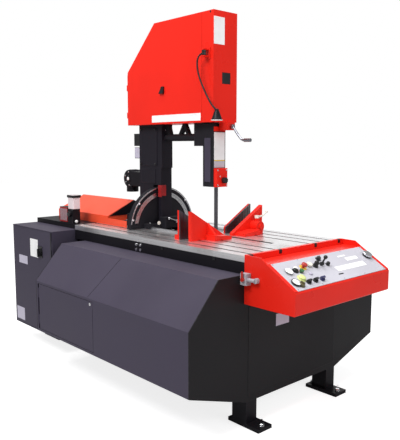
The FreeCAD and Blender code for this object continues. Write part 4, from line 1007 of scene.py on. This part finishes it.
def dress_rear():
    """Louvred service panel with screws on the rear deck's far side."""
    face = node_box("rear_deck")[1].y
    slab((-1.270, face - 0.0004, 0.190), (-0.640, face + 0.0016, 0.800), 0.0006, 0.0004, 0.010, "Y")
    finished("rear_service_panel", "base", "black_paint")
    louvre = slab((-0.090, face + 0.001, -0.004), (0.090, face + 0.008, 0.004), 0.002, 0.0015,
                  0.002, "Y")
    choose(louvre, lambda co: co.y > face + 0.005)
    bpy.ops.transform.translate(value=(0, 0, -0.005))
    mode("OBJECT")
    repeated(louvre, [Matrix.Translation((x, 0, 0.64 - 0.024 * i)) for x in (-1.10, -0.81)
                      for i in range(7)])
    finished("rear_panel_louvres", "base", "black_paint")
    bolt = hex_bolt(0.006)
    repeated(bolt, facing(FAR, [(x, face + 0.0014, z) for x in (-1.255, -0.955, -0.655)
                                for z in (0.205, 0.785)]))
    finished("rear_panel_bolts", "base", "bright_steel")


def dress_covers():
    """Gusset plate that closes the rear cover's front end."""
    low, top = 0.998, node_box("rear_cover")[1].z - 0.004
    clear()
    bpy.ops.mesh.primitive_plane_add(size=1, location=(-0.5595, 0, (low + top) / 2),
                                     rotation=(0, math.pi / 2, 0))
    plate = bpy.context.object
    plate.scale = (top - low, 0.440, 1)
    bpy.ops.object.transform_apply(location=True, rotation=True, scale=True)
    choose(plate, lambda co: co.z > 1.010)
    bpy.ops.transform.resize(value=(1, 0.03, 1))
    bpy.ops.mesh.select_all(action="SELECT")
    bpy.ops.mesh.extrude_region_move(TRANSFORM_OT_translate={"value": (0.002, 0, 0)})
    mode("OBJECT")
    bevelled(plate, 0.0006)
    finished("cover_end_plate", "base", "black_paint")


# ---- stage --------------------------------------------------------------------------
def area_light(name, at, look, size, power):
    data = bpy.data.lights.new(name, "AREA")
    data.shape = "RECTANGLE"
    data.size, data.size_y = size
    data.energy = power
    lamp_object = bpy.data.objects.new(name, data)
    lamp_object.location = at
    lamp_object.rotation_mode = "QUATERNION"
    lamp_object.rotation_quaternion = (Vector(look) - Vector(at)).to_track_quat("-Z", "Y")
    bpy.context.collection.objects.link(lamp_object)


def glow(tree, strength, lighting, seen):
    """Gives a strength one value as a light on the machine and another as the camera sees it."""
    path = tree.nodes.new("ShaderNodeLightPath")
    level = tree.nodes.new("ShaderNodeMapRange")
    level.inputs["To Min"].default_value = lighting
    level.inputs["To Max"].default_value = seen
    tree.links.new(path.outputs["Is Camera Ray"], level.inputs["Value"])
    tree.links.new(level.outputs["Result"], strength)


def set_stage():
    clear()
    bpy.ops.mesh.primitive_plane_add(size=40, location=(0, 0, -0.0005))
    floor = bpy.context.object
    floor.name = "studio_floor"
    material, tree, shader = new_material("studio_floor")
    shader.inputs["Base Color"].default_value = (0.55, 0.55, 0.55, 1)
    shader.inputs["Roughness"].default_value = 0.8
    shader.inputs["Specular IOR Level"].default_value = 0.0
    shader.inputs["Emission Color"].default_value = (1, 1, 1, 1)
    glow(tree, shader.inputs["Emission Strength"], 0.10, 0.80)
    floor.data.materials.append(material)
    world = bpy.data.worlds.new("studio")
    world.use_nodes = True
    sky = world.node_tree.nodes["Background"]
    sky.inputs["Color"].default_value = (1, 1, 1, 1)
    glow(world.node_tree, sky.inputs["Strength"], 0.38, 1.0)
    bpy.context.scene.world = world
    area_light("key", (0.6, -4.0, 5.0), (0, 0, 1.0), (3.0, 2.0), 215)
    area_light("overhead", (0.0, 0.0, 4.8), (0, 0, 0), (4.0, 3.0), 150)
    area_light("far_side", (-3.6, 4.2, 2.2), (0, 0, 0.95), (5.0, 2.2), 26)
    area_light("console_side", (4.8, 0.5, 2.6), (0.5, 0, 1.2), (2.0, 2.0), 48)
    bpy.context.scene.view_settings.view_transform = "Standard"


set_camera()
set_stage()
dress_head()
blade_teeth()
dress_guide_post()
dress_column()
scale_marks()
dress_carriage()
dress_lamp()
dress_lubricator()
dress_motor()
dress_console()
dress_gauge()
dress_base()
dress_cabinet()
dress_rear()
dress_covers()
